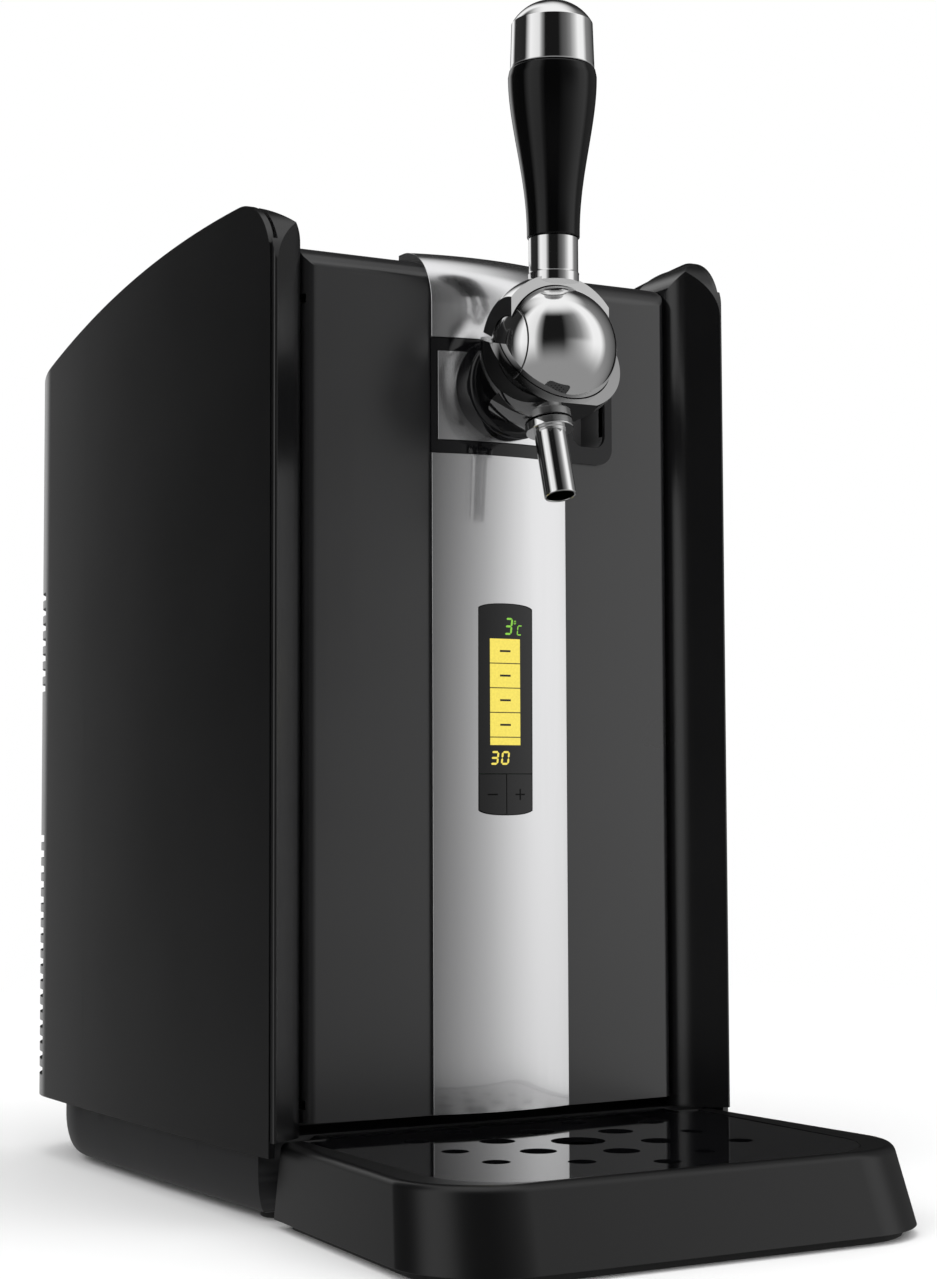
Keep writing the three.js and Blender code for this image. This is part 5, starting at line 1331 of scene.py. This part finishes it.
def make_floor():
    """White round the object with its soft shadow, plain white far off, and open to reflections."""
    bm = bmesh.new()
    bmesh.ops.create_grid(bm, x_segments=1, y_segments=1, size=FLOOR_REACH)
    floor = new_object("floor", bm)
    made, tree, bsdf = shader("pale_floor")
    bsdf.inputs["Base Color"].default_value = (*grey(FLOOR_GREY), 1)
    bsdf.inputs["Roughness"].default_value = FLOOR_ROUGHNESS
    bsdf.inputs["Specular IOR Level"].default_value = FLOOR_SHINE
    spot = node(tree, "TexCoord").outputs["Object"]
    far = node(tree, "VectorMath", {0: spot}, operation="LENGTH").outputs["Value"]
    near, end = FLOOR_FADE
    fade = node(tree, "MapRange", {"Value": far, "From Min": near, "From Max": end}).outputs["Result"]
    rays = node(tree, "LightPath").outputs
    glow = node(tree, "Emission", {"Color": WHITE, "Strength": 1.0}).outputs["Emission"]
    clear = node(tree, "BsdfTransparent").outputs["BSDF"]
    seen = node(tree, "Math", {0: rays["Is Camera Ray"], 1: fade}, operation="MULTIPLY").outputs["Value"]
    white = mixed(tree, seen, bsdf.outputs["BSDF"], glow)
    surface = mixed(tree, rays["Is Glossy Ray"], white, clear)
    tree.links.new(surface, tree.nodes["Material Output"].inputs["Surface"])
    floor.data.materials.append(made)


def by_azimuth(tree, share, column):
    """Brightness round the horizon, from one column of the studio's table."""
    return ramp(tree, share, *[(stop[0] / 360 + 0.5, grey(stop[column])) for stop in STUDIO])


def between(tree, value, low, high):
    """Rises softly from 0 to 1 between two elevations in degrees."""
    limits = {"Value": value, "From Min": sin(radians(low)), "From Max": sin(radians(high))}
    return node(tree, "MapRange", limits, interpolation_type="SMOOTHSTEP").outputs["Result"]


def blended(tree, factor, low, high):
    return node(tree, "Mix", {"Factor": factor, "A": low, "B": high}, data_type="RGBA").outputs["Result"]


def background(tree, color, strength=1.0):
    return node(tree, "Background", {"Color": color, "Strength": strength}).outputs["Background"]


def negated(tree, value):
    return node(tree, "Math", {0: value, 1: -1.0}, operation="MULTIPLY").outputs["Value"]


def make_world():
    """White where the camera looks, an even light on matt surfaces, and a studio in reflections."""
    world = bpy.data.worlds.new("studio")
    bpy.context.scene.world = world
    world.use_nodes = True
    world.cycles.sampling_method = "NONE"
    tree = world.node_tree
    tree.nodes.clear()
    spot = node(tree, "TexCoord").outputs["Generated"]
    parts = node(tree, "SeparateXYZ", {"Vector": spot}).outputs
    ahead = {0: parts["X"], 1: negated(tree, parts["Y"])}
    angle = node(tree, "Math", ahead, operation="ARCTAN2").outputs["Value"]
    share = node(tree, "MapRange", {"Value": angle, "From Min": -pi, "From Max": pi}).outputs["Result"]
    height = parts["Z"]
    eye = between(tree, height, *EYE_LEVEL)
    sides = blended(tree, eye, by_azimuth(tree, share, 1), by_azimuth(tree, share, 2))
    upper = blended(tree, between(tree, height, *CEILING_FROM), sides, (*grey(CEILING_LIGHT), 1))
    low, deep = (-angle for angle in GROUND_FROM)
    below = between(tree, negated(tree, height), low, deep)
    studio = blended(tree, below, upper, (*grey(GROUND_LIGHT), 1))
    rays = node(tree, "LightPath").outputs
    even = background(tree, WHITE, EVEN_LIGHT)
    lit = mixed(tree, rays["Is Diffuse Ray"], background(tree, studio), even)
    surface = mixed(tree, rays["Is Camera Ray"], lit, background(tree, WHITE))
    out = node(tree, "OutputWorld")
    tree.links.new(surface, out.inputs["Surface"])


def make_lamp(name, azimuth, elevation, size, power):
    """An area lamp that looks at the object from an azimuth, counted from the front."""
    a, e = radians(azimuth), radians(elevation)
    direction = Vector((sin(a) * cos(e), -cos(a) * cos(e), sin(e)))
    lamp = bpy.data.lights.new(name, "AREA")
    lamp.shape = "RECTANGLE"
    lamp.size, lamp.size_y = size
    lamp.energy = power
    holder = linked(name, lamp)
    holder.location = LAMP_TARGET + direction * LAMP_DISTANCE
    holder.rotation_euler = direction.to_track_quat("Z", "Y").to_euler()
    holder.visible_glossy = False


def make_camera():
    yaw, pitch, roll = (radians(v) for v in (CAMERA_YAW, CAMERA_PITCH, CAMERA_ROLL))
    forward = Vector((sin(yaw) * cos(pitch), cos(yaw) * cos(pitch), sin(pitch)))
    right = Vector((cos(yaw), -sin(yaw), 0))
    up = right.cross(forward)
    across = right * cos(roll) + up * sin(roll)
    over = up * cos(roll) - right * sin(roll)
    camera = bpy.data.cameras.new("camera")
    camera.lens = CAMERA_LENS
    camera.sensor_width = SENSOR
    camera.clip_end = FLOOR_REACH * 2
    holder = linked("camera", camera)
    holder.matrix_world = Matrix((
        (across.x, over.x, -forward.x, 0), (across.y, over.y, -forward.y, 0),
        (across.z, over.z, -forward.z, 0), (0, 0, 0, 1),
    ))
    holder.location = place(*CAMERA_PLACE)
    bpy.context.scene.camera = holder


make_floor()
make_world()
for lamp_name, settings in LAMPS.items():
    make_lamp(lamp_name, *settings)
make_camera()
bpy.context.scene.view_settings.view_transform = "Standard"
